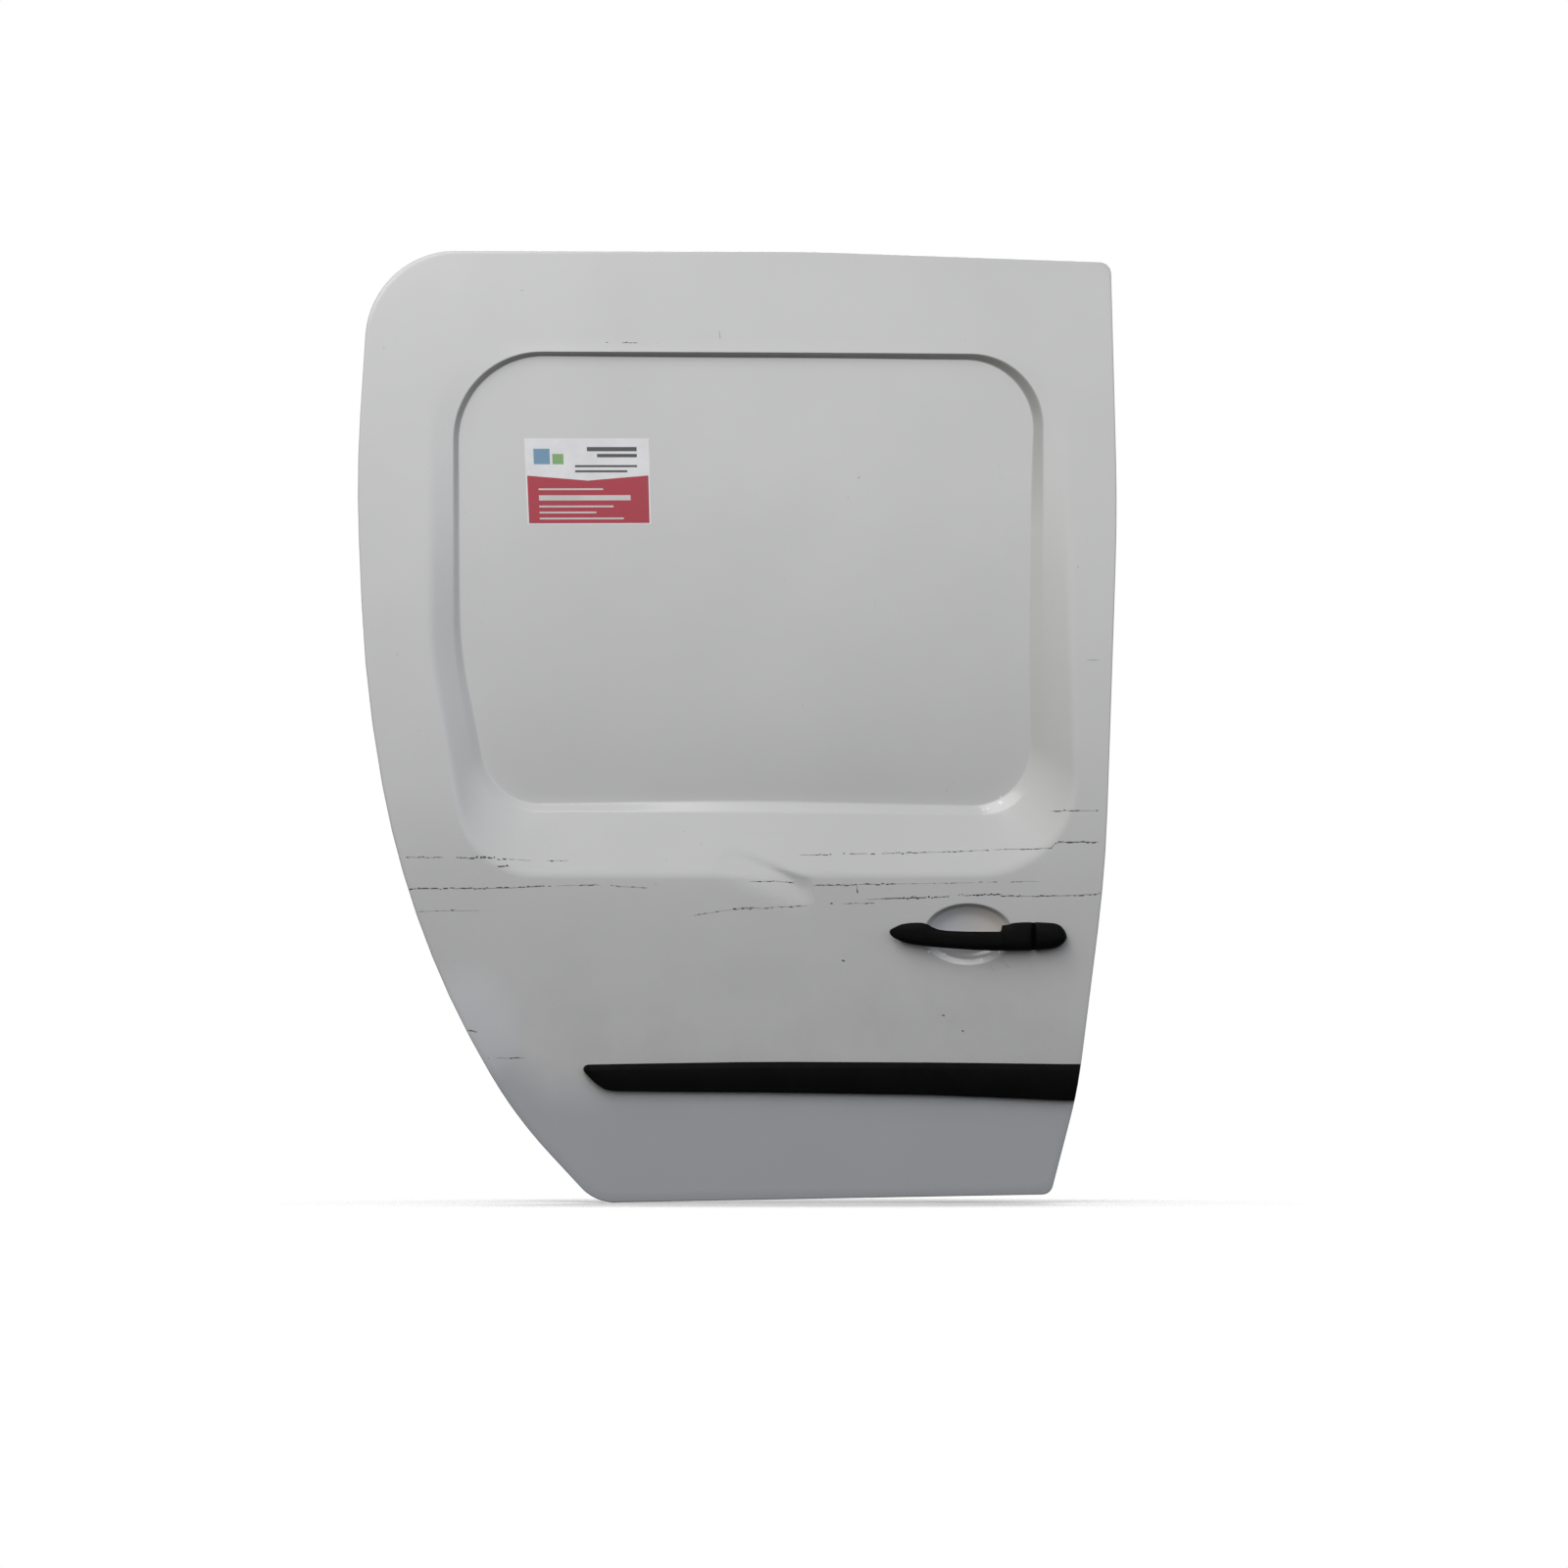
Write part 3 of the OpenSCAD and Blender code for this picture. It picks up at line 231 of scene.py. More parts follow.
def step_reach(angle, sizes):
    """Width of the small step, which is wider and softer along the lower and the front edge."""
    top = max(0.0, math.sin(angle))
    bottom = max(0.0, -math.sin(angle))
    front = max(0.0, math.cos(angle)) ** 3
    return sizes.step_width * 1000.0 * (1.0 - 0.38 * top + 1.1 * bottom + 1.5 * front)


def pressed_y(r, angle, r_floor, r_skin, sizes):
    """Depth of the pressed skin on a ray from the middle of the pan."""
    z = PAN_Z + r * math.sin(angle)
    z_floor = PAN_Z + r_floor * math.sin(angle)
    step_w = step_reach(angle, sizes)
    step_d = sizes.step_depth * 1000.0 * (1.0 + 0.25 * max(0.0, math.sin(angle)))
    lip = floor_y(z_floor) - skin_y(z_floor)
    if r < r_floor:
        base = floor_y(z)
    else:
        base = skin_y(z) + lip
    slope = -(lip - step_d) / (r_skin - r_floor)
    steep = -step_d / step_w
    fall = steep * ramp(r - r_floor + step_w, 3.0)
    fall += (slope - steep) * ramp(r - r_floor, 3.0)
    fall -= slope * ramp(r - r_skin, 13.0)
    return base + fall


def dent_y(x, z):
    """How far the dent in the lower slope of the pan is pushed in: steep above its line, soft below it."""
    best = 1e9
    above = 0.0
    place_on = 0.0
    for index, (a, b) in enumerate(zip(DENT, DENT[1:])):
        here = Vector((x, z)) - from_photo(*a)
        edge = from_photo(*b) - from_photo(*a)
        share = min(1.0, max(0.0, here.dot(edge) / edge.length_squared))
        off = (here - edge * share).length
        if off < best:
            best = off
            above = edge.x * here.y - edge.y * here.x
            place_on = (index + share) / (len(DENT) - 1)
    fade = DENT_ABOVE if above > 0 else DENT_BELOW
    return DENT_DEPTH * math.sin(math.pi * place_on) ** 0.45 * math.exp(-((best / fade) ** 2))


def sunk(v):
    """Depth of the bowl at a distance v from its middle: steep wall, round turn, slightly dished floor."""
    floor_r = BOWL_HALF_H - BOWL_TURN
    turn_w = BOWL_TURN - BOWL_WALL
    dish = 0.2 * floor_r
    steep = (BOWL_DEPTH - 0.1 * turn_w - dish / 2) / (BOWL_WALL + turn_w / 2)
    if v >= BOWL_HALF_H + BOWL_RIM:
        return 0.0
    if v > BOWL_HALF_H - BOWL_RIM:
        return steep * (BOWL_HALF_H + BOWL_RIM - v) ** 2 / (4 * BOWL_RIM)
    wall = min(BOWL_HALF_H - v, BOWL_WALL)
    turn = min(max(0.0, BOWL_HALF_H - BOWL_WALL - v), turn_w)
    low = min(1.0, max(0.0, (floor_r - v) / floor_r))
    return steep * wall + turn * (steep + (0.2 - steep) * turn / turn_w / 2) + dish * (low - low * low / 2)


def face_y(x, z, sizes):
    """Depth of the outer face at any place."""
    near = math.hypot((x - BOWL_X) / BOWL_HALF_L, (z - BOWL_Z) / BOWL_HALF_H)
    if near < 1.1:
        return skin_y(z) + sunk(near * BOWL_HALF_H)
    here = Vector((x, z)) - PAN_CENTRE
    angle = math.atan2(here.y, here.x)
    r_floor = reach(FLOOR_OUTLINE, angle)
    r_skin = reach(SKIN_OUTLINE, angle)
    return pressed_y(here.length, angle, r_floor, r_skin, sizes) + dent_y(x, z)


# Colour sockets of the mix node
MIX_FIRST = 6
MIX_SECOND = 7
MIX_RESULT = 2


def finish(name, slot, colour, roughness, metallic=0.0, coat=0.0, coat_roughness=0.1, specular=0.5):
    """A new material with its shader set to plain numbers, ready for its detail."""
    material = bpy.data.materials.new(name)
    material.use_nodes = True
    material["slot"] = slot
    inputs = shader_of(material).inputs
    inputs["Base Color"].default_value = (*colour, 1.0)
    inputs["Roughness"].default_value = roughness
    inputs["Metallic"].default_value = metallic
    inputs["Coat Weight"].default_value = coat
    inputs["Coat Roughness"].default_value = coat_roughness
    inputs["Specular IOR Level"].default_value = specular
    material.diffuse_color = (*colour, 1.0)
    return material


def shader_of(material):
    """The main shader of a material."""
    return material.node_tree.nodes["Principled BSDF"]


def node(material, kind, inputs=None, **settings):
    """A new shader node, with its inputs set to values or linked to other nodes."""
    tree = material.node_tree
    made = tree.nodes.new("ShaderNode" + kind)
    for name, value in settings.items():
        setattr(made, name, value)
    for name, value in (inputs or {}).items():
        if isinstance(value, bpy.types.NodeSocket):
            tree.links.new(value, made.inputs[name])
        else:
            made.inputs[name].default_value = value
    return made


def place(material):
    """Object coordinates of the piece."""
    found = material.node_tree.nodes.get("Place") or node(material, "TexCoord", name="Place")
    return found.outputs["Object"]


def height(material, axis="Z"):
    """One coordinate of the piece, in metres."""
    found = material.node_tree.nodes.get("Split")
    return (found or node(material, "SeparateXYZ", {"Vector": place(material)}, name="Split")).outputs[axis]


def stretched(material, scale, shift=(0.0, 0.0, 0.0)):
    """Object coordinates stretched along the axes, and then shifted."""
    inputs = {"Vector": place(material), "Scale": scale, "Location": shift}
    return node(material, "Mapping", inputs).outputs["Vector"]


def noise(material, scale, detail=3.0, roughness=0.5, vector=None):
    """Noise value from 0 to 1."""
    inputs = {"Vector": vector or place(material), "Scale": scale, "Detail": detail, "Roughness": roughness}
    return node(material, "TexNoise", inputs).outputs["Fac"]


def between(material, value, low, high, to_low=0.0, to_high=1.0, smooth=False):
    """The value mapped from low..high to another range, held at its ends."""
    inputs = {"Value": value, "From Min": low, "From Max": high, "To Min": to_low, "To Max": to_high}
    shape = "SMOOTHSTEP" if smooth else "LINEAR"
    return node(material, "MapRange", inputs, interpolation_type=shape).outputs["Result"]


def patches(material, scale, detail, low, high, roughness=0.5):
    """Soft-edged patches: 0 where the noise is under low, 1 where it is over high."""
    return between(material, noise(material, scale, detail, roughness), low, high)


def reckon(material, operation, first, *others):
    """Arithmetic on values or numbers, taken one after the other."""
    for other in others:
        first = node(material, "Math", {0: first, 1: other}, operation=operation).outputs["Value"]
    return first


def times(material, *values):
    """The product of values or numbers."""
    return reckon(material, "MULTIPLY", *values)


def blended(material, share, first, second):
    """A colour between two colours or links, by share."""
    ends = [(*value, 1.0) if isinstance(value, tuple) else value for value in (first, second)]
    inputs = {"Factor": share, MIX_FIRST: ends[0], MIX_SECOND: ends[1]}
    return node(material, "Mix", inputs, data_type="RGBA").outputs[MIX_RESULT]


def relief(material, value, strength, distance, under=None):
    """A bump from a value, on top of another bump if there is one."""
    inputs = {"Height": value, "Strength": strength, "Distance": distance}
    if under is not None:
        inputs["Normal"] = under
    return node(material, "Bump", inputs).outputs["Normal"]


def feed(material, socket_name, value):
    """Sends a value into a socket of the shader."""
    material.node_tree.links.new(value, shader_of(material).inputs[socket_name])


def surface(material, colour, bump, rough=None):
    """Feeds the colour, a bump (scale, detail, strength, depth) and roughness (scale, detail, low, high)."""
    feed(material, "Base Color", colour)
    scale, detail, strength, depth = bump
    feed(material, "Normal", relief(material, noise(material, scale, detail), strength, depth))
    if rough is not None:
        scale, detail, low, high = rough
        feed(material, "Roughness", between(material, noise(material, scale, detail), 0.3, 0.7, low, high))
    return material


def weathered(name, slot, tone, roughness, mottle, other, bump, rough=None, share=1.0, **shader):
    """A finish that turns to another tone in patches, with bump and roughness as in surface."""
    material = finish(name, slot, tone, roughness, **shader)
    base = blended(material, times(material, patches(material, *mottle), share), tone, other)
    return surface(material, base, bump, rough)


def shaded(tone, share):
    """A tone made darker or lighter by a share, held under full white."""
    return tuple(min(1.0, c * share) for c in tone)


def body_paint(sizes):
    """White paint with dulled patches, road dirt low down that also stands in for painted shade there, a
    bluish painted shade towards the bottom and the rear, a pale bluish painted reflection low at the rear,
    painted shade along the upper step of the pan and the upper rim of the bowl, and fine hair scratches.
    """
    tone = tuple(sizes.paint)
    paint = finish("Body paint", "body_paint", tone, 0.34, coat=1.0, coat_roughness=0.16)
    base = blended(paint, patches(paint, 3.2, 4.0, 0.35, 0.7), tone, shaded(tone, 0.94))
    # Road dirt in grey patches towards the bottom, which also serves as painted shade on the lower body.
    dirt_and_shade = between(paint, height(paint), 0.1, -0.45, 0.0, 1.0, True)
    dirt_and_shade = times(paint, dirt_and_shade, patches(paint, 9.0, 6.0, 0.42, 0.72, 0.62), 0.3)
    base = blended(paint, dirt_and_shade, base, (0.33, 0.33, 0.325))
    # Painted shade: the paint turns bluish grey towards the bottom and the rear, in place of the reflection
    # of the darker ground there.
    rear = reckon(paint, "MINIMUM", reckon(paint, "SUBTRACT", height(paint, "X"), 0.1), 0.0)
    uneven = times(paint, noise(paint, 5.0, 3.0), 0.06)
    painted_low_shade = reckon(paint, "ADD", height(paint), times(paint, rear, 0.7), uneven)
    painted_low_shade = between(paint, painted_low_shade, -0.22, -0.3, 0.0, 0.95, True)
    base = blended(paint, painted_low_shade, base, (0.44, 0.455, 0.485))
    # Painted reflection: a soft pale bluish spot low on the rear part of the skin.
    reflection_x = times(paint, height(paint, "X"), 13.0)
    reflection_z = times(paint, reckon(paint, "ADD", height(paint), 0.205), 11.0)
    reflection_spot = reckon(paint, "ADD", reckon(paint, "POWER", reflection_x, 2.0), reckon(paint, "POWER", reflection_z, 2.0))
    base = blended(paint, between(paint, reflection_spot, 1.0, 0.1, 0.0, 0.5, True), base, (0.68, 0.69, 0.73))
    specks = times(paint, patches(paint, 160.0, 2.0, 0.73, 0.78), patches(paint, 11.0, 2.0, 0.55, 0.62), 0.35)
    base = blended(paint, specks, base, (0.14, 0.13, 0.12))
    hair = between(paint, noise(paint, 1.0, 2.0, 0.5, stretched(paint, (2.5, 2.5, 900.0))), 0.68, 0.74)
    hair = times(paint, hair, patches(paint, 4.0, 2.0, 0.52, 0.68), 0.16)
    base = bowl_light_and_shade(paint, blended(paint, hair, base, (0.3, 0.3, 0.3)))
    # Painted shade: darker paint along the upper part of the small step round the pan and along the upper rim
    # of the handle bowl, read from a vertex attribute.
    crease_shade = node(paint, "Attribute", attribute_name="crease_shade").outputs["Fac"]
    base = blended(paint, times(paint, crease_shade, 0.72), base, (0.17, 0.165, 0.155))
    feed(paint, "Roughness", between(paint, noise(paint, 14.0, 5.0), 0.3, 0.75, 0.3, 0.46))
    return surface(paint, base, (420.0, 1.0, 0.05, 0.0004))


def bowl_light_and_shade(paint, base):
    """Painted light in the handle bowl: a bluish and yellowish painted tint inside it, a painted shadow of
    the lever on its lower inside, and a pale painted highlight along its lower lip.
    """
    middle = at(BOWL_X, 0.0, BOWL_Z)
    across = reckon(paint, "SUBTRACT", height(paint, "X"), middle.x)
    up = reckon(paint, "SUBTRACT", height(paint), middle.z)
    far_x = reckon(paint, "POWER", times(paint, across, 1000.0 / BOWL_HALF_L), 2.0)
    far_z = reckon(paint, "POWER", times(paint, up, 1000.0 / BOWL_HALF_H), 2.0)
    far = reckon(paint, "SQRT", reckon(paint, "ADD", far_x, far_z), 0.0)
    # Painted light: inside the bowl the paint turns bluish on the left and yellowish on the right, as tinted
    # light would make it.
    inside = between(paint, far, 0.9, 1.0, 1.0, 0.0)
    painted_tint = blended(paint, between(paint, across, -0.03, 0.035), (0.57, 0.59, 0.65), (0.66, 0.61, 0.55))
    base = blended(paint, times(paint, inside, 0.7), base, painted_tint)
    # Painted shadow: grey on the lower inside of the bowl, under the lever.
    grey = times(paint, between(paint, far, 0.97, 0.84), between(paint, up, -0.004, -0.018), 0.8)
    base = blended(paint, grey, base, (0.34, 0.34, 0.35))
    # Painted highlight: a pale band along the lower lip of the bowl, broken by noise, where light falls on
    # the upward-facing wall.
    lip = times(
        paint,
        between(paint, far, 0.82, 0.88),
        between(paint, far, 1.04, 1.0),
        between(paint, up, -0.016, -0.024),
        between(paint, across, 0.032, 0.014, 0.25, 1.0),
        between(paint, noise(paint, 60.0, 4.0), 0.25, 0.55, 0.6, 1.0),
    )
    return blended(paint, lip, base, (0.97, 0.97, 0.98))


def inner_paint(sizes):
    """Thin matt coat on the inner sheets, with grime in patches and light overspray."""
    tone = tuple(c * 1.02 for c in sizes.paint)
    paint = finish("Inner paint", "inner_paint", tone, 0.55, coat=0.12, coat_roughness=0.3)
    grime = times(paint, patches(paint, 6.0, 6.0, 0.4, 0.72, 0.6), 0.35)
    base = blended(paint, grime, tone, (0.36, 0.355, 0.34))
    low = between(paint, height(paint), -0.22, -0.43, 0.0, 0.55, True)
    dust = times(paint, low, patches(paint, 24.0, 5.0, 0.4, 0.66, 0.65))
    base = blended(paint, dust, base, (0.27, 0.24, 0.2))
    streak = between(paint, noise(paint, 1.0, 3.0, 0.6, stretched(paint, (60.0, 60.0, 1.6))), 0.58, 0.74)
    base = blended(paint, times(paint, streak, 0.2), base, (0.3, 0.28, 0.25))
    return surface(paint, base, (260.0, 2.0, 0.12, 0.0005), (30.0, 4.0, 0.46, 0.7))


def grained_plastic(name, sizes, tone, dust=0.12):
    """Black moulded plastic with a fine leather-like grain and pale dust in it."""
    plastic = finish(name, "trim_black", tone, 0.6, specular=0.07)
    pale = tuple(min(1.0, c * 2.2 + 0.006) for c in tone)
    faded = times(plastic, patches(plastic, 18.0, 5.0, 0.42, 0.75, 0.6), dust * 3.0)
    feed(plastic, "Base Color", blended(plastic, faded, tone, pale))
    feed(plastic, "Roughness", between(plastic, noise(plastic, 60.0, 3.0), 0.3, 0.7, 0.44, 0.62))
    cells = node(plastic, "TexVoronoi", {"Vector": place(plastic), "Scale": sizes.grain}).outputs["Distance"]
    grain = relief(plastic, cells, 0.22, 0.0006)
    feed(plastic, "Normal", relief(plastic, noise(plastic, 900.0, 2.0), 0.08, 0.0003, grain))
    return plastic


def zinc(name, tone):
    """Zinc plated steel with a dull bloom and a little rust in small spots."""
    steel = finish(name, "bare_steel", tone, 0.38, metallic=0.92)
    base = blended(steel, patches(steel, 40.0, 5.0, 0.35, 0.72, 0.6), tone, shaded(tone, 0.72))
    rust = times(steel, patches(steel, 95.0, 6.0, 0.63, 0.7, 0.7), patches(steel, 15.0, 2.0, 0.5, 0.62))
    base = blended(steel, rust, base, (0.2, 0.09, 0.035))
    feed(steel, "Metallic", between(steel, rust, 0.0, 1.0, 0.92, 0.1))
    return surface(steel, base, (300.0, 3.0, 0.1, 0.0004), (70.0, 4.0, 0.3, 0.52))


def rubber(name="Seal rubber", tone=(0.028, 0.028, 0.029)):
    """Soft black rubber with a pale bloom and fine pores."""
    bloom = (0.09, 0.088, 0.084)
    mottle = (26.0, 6.0, 0.4, 0.75, 0.65)
    pores = (700.0, 2.0, 0.2, 0.0004)
    rough = (50.0, 3.0, 0.62, 0.85)
    return weathered(name, "seal_rubber", tone, 0.72, mottle, bloom, pores, rough, 0.5, specular=0.3)


def nylon():
    """Dark grey nylon, polished by running and greased in patches."""
    tone = (0.085, 0.085, 0.09)
    wheel = finish("Roller nylon", "roller_plastic", tone, 0.42)
    grease = patches(wheel, 55.0, 5.0, 0.45, 0.68, 0.6)
    feed(wheel, "Roughness", between(wheel, grease, 0.0, 1.0, 0.48, 0.22))
    return surface(wheel, blended(wheel, grease, tone, (0.03, 0.026, 0.02)), (420.0, 2.0, 0.1, 0.0003))


def clip_nylon():
    """Milky nylon of the trim clips."""
    tone = (0.42, 0.41, 0.37)
    mottle = (90.0, 4.0, 0.4, 0.7)
    bump = (500.0, 2.0, 0.1, 0.0003)
    return weathered("Clip nylon", "roller_plastic", tone, 0.45, mottle, (0.2, 0.19, 0.16), bump)


def mastic_pad():
    """Dull grey mastic with a rough skin."""
    tone = (0.075, 0.075, 0.078)
    pad = finish("Mastic", "mastic", tone, 0.85, specular=0.2)
    base = blended(pad, noise(pad, 70.0, 5.0), tone, (0.12, 0.118, 0.11))
    return surface(pad, base, (140.0, 5.0, 0.5, 0.002))


def hem_sealer():
    """Pale sealer, dirtied in patches."""
    tone = (0.5, 0.5, 0.49)
    mottle = (25.0, 5.0, 0.4, 0.7)
    bump = (150.0, 3.0, 0.4, 0.0006)
    return weathered("Hem sealer", "mastic", tone, 0.6, mottle, (0.34, 0.33, 0.3), bump, specular=0.3)


def scratched(group, tone):
    """Bare or dirty ground of a scratch, or the white of a painted glint, mottled."""
    pale = shaded(tone, 1.8)
    mottle = (180.0, 4.0, 0.35, 0.7, 0.6)
    bump = (500.0, 3.0, 0.3, 0.0004)
    return weathered("Scratch " + group, "body_paint", tone, 0.7, mottle, pale, bump, specular=0.2)


def printed_film(name, tone):
    """Printed sticker foil, a little faded."""
    pale = tuple(min(1.0, c * 0.86 + 0.015) for c in tone)
    mottle = (30.0, 5.0, 0.35, 0.75, 0.6)
    bump = (120.0, 3.0, 0.08, 0.0004)
    return weathered(name, "body_paint", tone, 0.42, mottle, pale, bump, coat=0.3, coat_roughness=0.25)


def piece(name, bm, material, body="door", smooth=True):
    """Makes an object from a bmesh, with its place in the mesh, and lets it ride on a body."""
    mesh = bpy.data.meshes.new(name)
    bm.to_mesh(mesh)
    bm.free()
    for polygon in mesh.polygons:
        polygon.use_smooth = smooth
    mesh.materials.append(material)
    thing = bpy.data.objects.new(name, mesh)
    bpy.context.scene.collection.objects.link(thing)
    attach(thing, body)
    return thing


def move(ring, spots):
    """Moves a ring of vertices to the given places."""
    for vert, spot in zip(ring, spots):
        vert.co = spot


def turn_of(x, z):
    """Direction of a place from 0 to a full turn."""
    return math.atan2(z, x) % math.tau


def next_ring(bm, ring):
    """Extrudes a closed ring of vertices and returns the new ring in the same order."""
    count = len(ring)
    edges = [bm.edges.get((ring[i], ring[(i + 1) % count])) for i in range(count)]
    made = bmesh.ops.extrude_edge_only(bm, edges=edges)["geom"]
    fresh = {g for g in made if isinstance(g, bmesh.types.BMVert)}
    after = []
    for vert in ring:
        for edge in vert.link_edges:
            other = edge.other_vert(vert)
            if other in fresh:
                after.append(other)
                break
    return after


def loft(stations, capped=True):
    """A skin over closed sections that have the same number of points."""
    bm = bmesh.new()
    bmesh.ops.create_circle(bm, cap_ends=False, radius=1.0, segments=len(stations[0]))
    bm.verts.ensure_lookup_table()
    ring = list(bm.verts)
    move(ring, stations[0])
    ends = [ring]
    for spots in stations[1:]:
        ring = next_ring(bm, ring)
        move(ring, spots)
    ends.append(ring)
    if capped:
        for end in ends:
            bmesh.ops.contextual_create(bm, geom=end)
    bmesh.ops.recalc_face_normals(bm, faces=bm.faces)
    return bm


def sharpen(thing, angle):
    """Smooth shading that breaks at edges steeper than the angle."""
    mesh = thing.data
    bm = bmesh.new()
    bm.from_mesh(mesh)
    for edge in bm.edges:
        if len(edge.link_faces) == 2 and edge.calc_face_angle(0.0) > math.radians(angle):
            edge.smooth = False
    bm.to_mesh(mesh)
    bm.free()


def length_size(name, about, default):
    """A length that a user may change."""
    return FloatProperty(name=name, description=about, default=default, unit="LENGTH")


def colour_size(name, about, default):
    """A colour that a user may change."""
    return FloatVectorProperty(name=name, description=about, default=default, size=3, subtype="COLOR")


class LeafSizes(bpy.types.PropertyGroup):
    """Sizes and colours that a user may change."""

    step_width: length_size("Step width", "Width of the small step round the pan floor", 0.0068)
    step_depth: length_size("Step depth", "Depth of the small step round the pan floor", 0.008)
    ring_count: IntProperty(name="Rings", description="Rings of the skin outside the pan", default=34)
    paint: colour_size("Paint", "Colour of the body paint", (0.6, 0.6, 0.605))
    black: colour_size("Black", "Colour of the handle and the moulding", (0.003, 0.003, 0.003))
    grain: FloatProperty(name="Grain", description="Grain cells per metre on black plastic", default=1500.0)
    latch_line: length_size("Latch line", "Depth of the latch screws behind the skin", 0.043)
    scratch_seed: IntProperty(name="Scratch seed", description="Seed of the broken scratch lines", default=11)
    camera_distance: length_size("Camera distance", "From the camera to the skin", 30.0)


# Rows of the skin that lie on the small step, and corners tight enough to need more columns
STEP_ROWS = range(10, 19)
TIGHT_R = 60

# Columns of the skin: degrees between them all round and at the dent, and the least step in radians
COLUMN_STEP = 0.9
DENT_FROM = 266
DENT_STEP = 0.3
LEAST_STEP = 0.0012

# Part of the leaf that the dent reaches: X and Z
DENT_X = (440, 600)
DENT_Z = (380, 470)

# Rolled edge and the hem behind it: inset from the outline and depth behind the skin
HEM_ROWS = [(0.75, 0.25), (0.2, 0.8), (0.0, 1.6), (0.0, HEM_T - 0.6), (0.5, HEM_T), (11.0, HEM_T)]

# Rings of the handle bowl, in shares of its half sizes
BOWL_ROWS = [
    1.12, 1.06, 1.026, 1.013, 1.0, 0.987, 0.974, 0.94, 0.908, 0.88, 0.84, 0.79, 0.73, 0.66, 0.58, 0.46, 0.34,
    0.22, 0.1, 0.03,
]


class DOORLEAF_OT_skin(bpy.types.Operator):
    """Pressed outer skin with its pan, handle bowl and hem"""

    bl_idname = "doorleaf.skin"
    bl_label = "Outer skin"

    def execute(self, context):
        sizes = context.scene.door_leaf
        angles = self.directions()
        edges = [[reach(edge, a) for a in angles] for edge in (FLOOR_OUTLINE, SKIN_OUTLINE, LEAF_OUTLINE)]
        bm = bmesh.new()
        # Vertex attribute for painted shade along the upper step of the pan and the upper rim of the bowl.
        crease_shade = bm.verts.layers.float.new("crease_shade")
        bmesh.ops.create_circle(bm, cap_ends=True, cap_tris=True, radius=1.0, segments=len(angles))
        middle = max(bm.verts, key=lambda v: len(v.link_edges))
        ring = sorted((v for v in bm.verts if v is not middle), key=lambda v: turn_of(v.co.x, v.co.y))
        middle.co = at(PAN_X, floor_y(PAN_Z), PAN_Z)
        columns = [self.radii(a, *ends, sizes) for a, *ends in zip(angles, *edges)]
        for index, row in enumerate(zip(*columns)):
            if index:
                ring = next_ring(bm, ring)
            spots = []
            for r, a, r_floor, r_skin in zip(row, angles, *edges[:2]):
                x = PAN_X + r * math.cos(a)
                z = PAN_Z + r * math.sin(a)
                y = pressed_y(r, a, r_floor, r_skin, sizes)
                if DENT_X[0] < x < DENT_X[1] and DENT_Z[0] < z < DENT_Z[1]:
                    y += dent_y(x, z)
                spots.append(at(x, y, z))
            move(ring, spots)
            # Painted shade on the upper rows of the small step.
            for vert, a in zip(ring, angles):
                vert[crease_shade] = min(1.0, max(0.0, math.sin(a) * 1.6 - 0.3)) if index in STEP_ROWS else 0.0
        for inset, depth in HEM_ROWS:
            ring = next_ring(bm, ring)
            for vert, a, r_leaf in zip(ring, angles, edges[2]):
                z = PAN_Z + (r_leaf - inset) * math.sin(a)
                vert.co = at(PAN_X + (r_leaf - inset) * math.cos(a), skin_y(z) + depth, z)
                vert[crease_shade] = 0.0
        self.cut_bowl(bm)
        bmesh.ops.recalc_face_normals(bm, faces=bm.faces)
        self.outward(bm)
        skin = piece("skin_pressing", bm, body_paint(sizes))
        wall = skin.modifiers.new("Sheet", "SOLIDIFY")
        wall.thickness = SKIN_T / 1000.0
        wall.offset = -1.0
        wall.use_even_offset = False
        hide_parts("outer_skin")
        return {"FINISHED"}

    def directions(self):
        """Directions of the columns, closer at the tight corners of the leaf and at the dent."""
        angles = [math.radians(COLUMN_STEP * k) for k in range(400)]
        for corner in LEAF_CORNERS:
            if corner[2] < TIGHT_R:
                arc = rounded(LEAF_CORNERS, 9.0)
                near = [p for p in arc if (p - Vector(corner[:2])).length < corner[2] * 1.3]
                angles += [turn_of(p.x - PAN_X, p.y - PAN_Z) for p in near]
        angles += [math.radians(DENT_FROM + DENT_STEP * k) for k in range(90)]
        kept = []
        for angle in sorted(angles):
            if not kept or angle - kept[-1] > LEAST_STEP:
                kept.append(angle)
        return kept

    def radii(self, angle, r_floor, r_skin, r_leaf, sizes):
        """Distances of the rows of one column, from the middle of the pan to the edge of the leaf."""
        step_w = step_reach(angle, sizes)
        rows = [k * (r_floor - step_w - 2.0) for k in (0.1, 0.22, 0.34, 0.46, 0.58, 0.7, 0.8, 0.88, 0.95)]
        rows += [r_floor - step_w + gap for gap in (-1.7, -0.85, 0.0, 0.85, 1.7)]
        rows += [r_floor - step_w / 2]
        rows += [r_floor + gap for gap in (-1.7, -0.85, 0.0, 0.85, 1.7)]
        for k in (0.06, 0.12, 0.2, 0.28, 0.37, 0.46, 0.55, 0.64, 0.73, 0.82, 0.91, 1.0):
            rows.append(r_floor + 1.7 + k * (r_skin - 7.0 - r_floor - 1.7))
        rows += [r_skin + gap for gap in (-4.6, -2.2, 0.0, 2.2, 4.6, 7.0)]
        for k in range(1, sizes.ring_count + 1):
            rows.append(r_skin + 7.0 + k / sizes.ring_count * (r_leaf - 1.6 - r_skin - 7.0))
        return rows

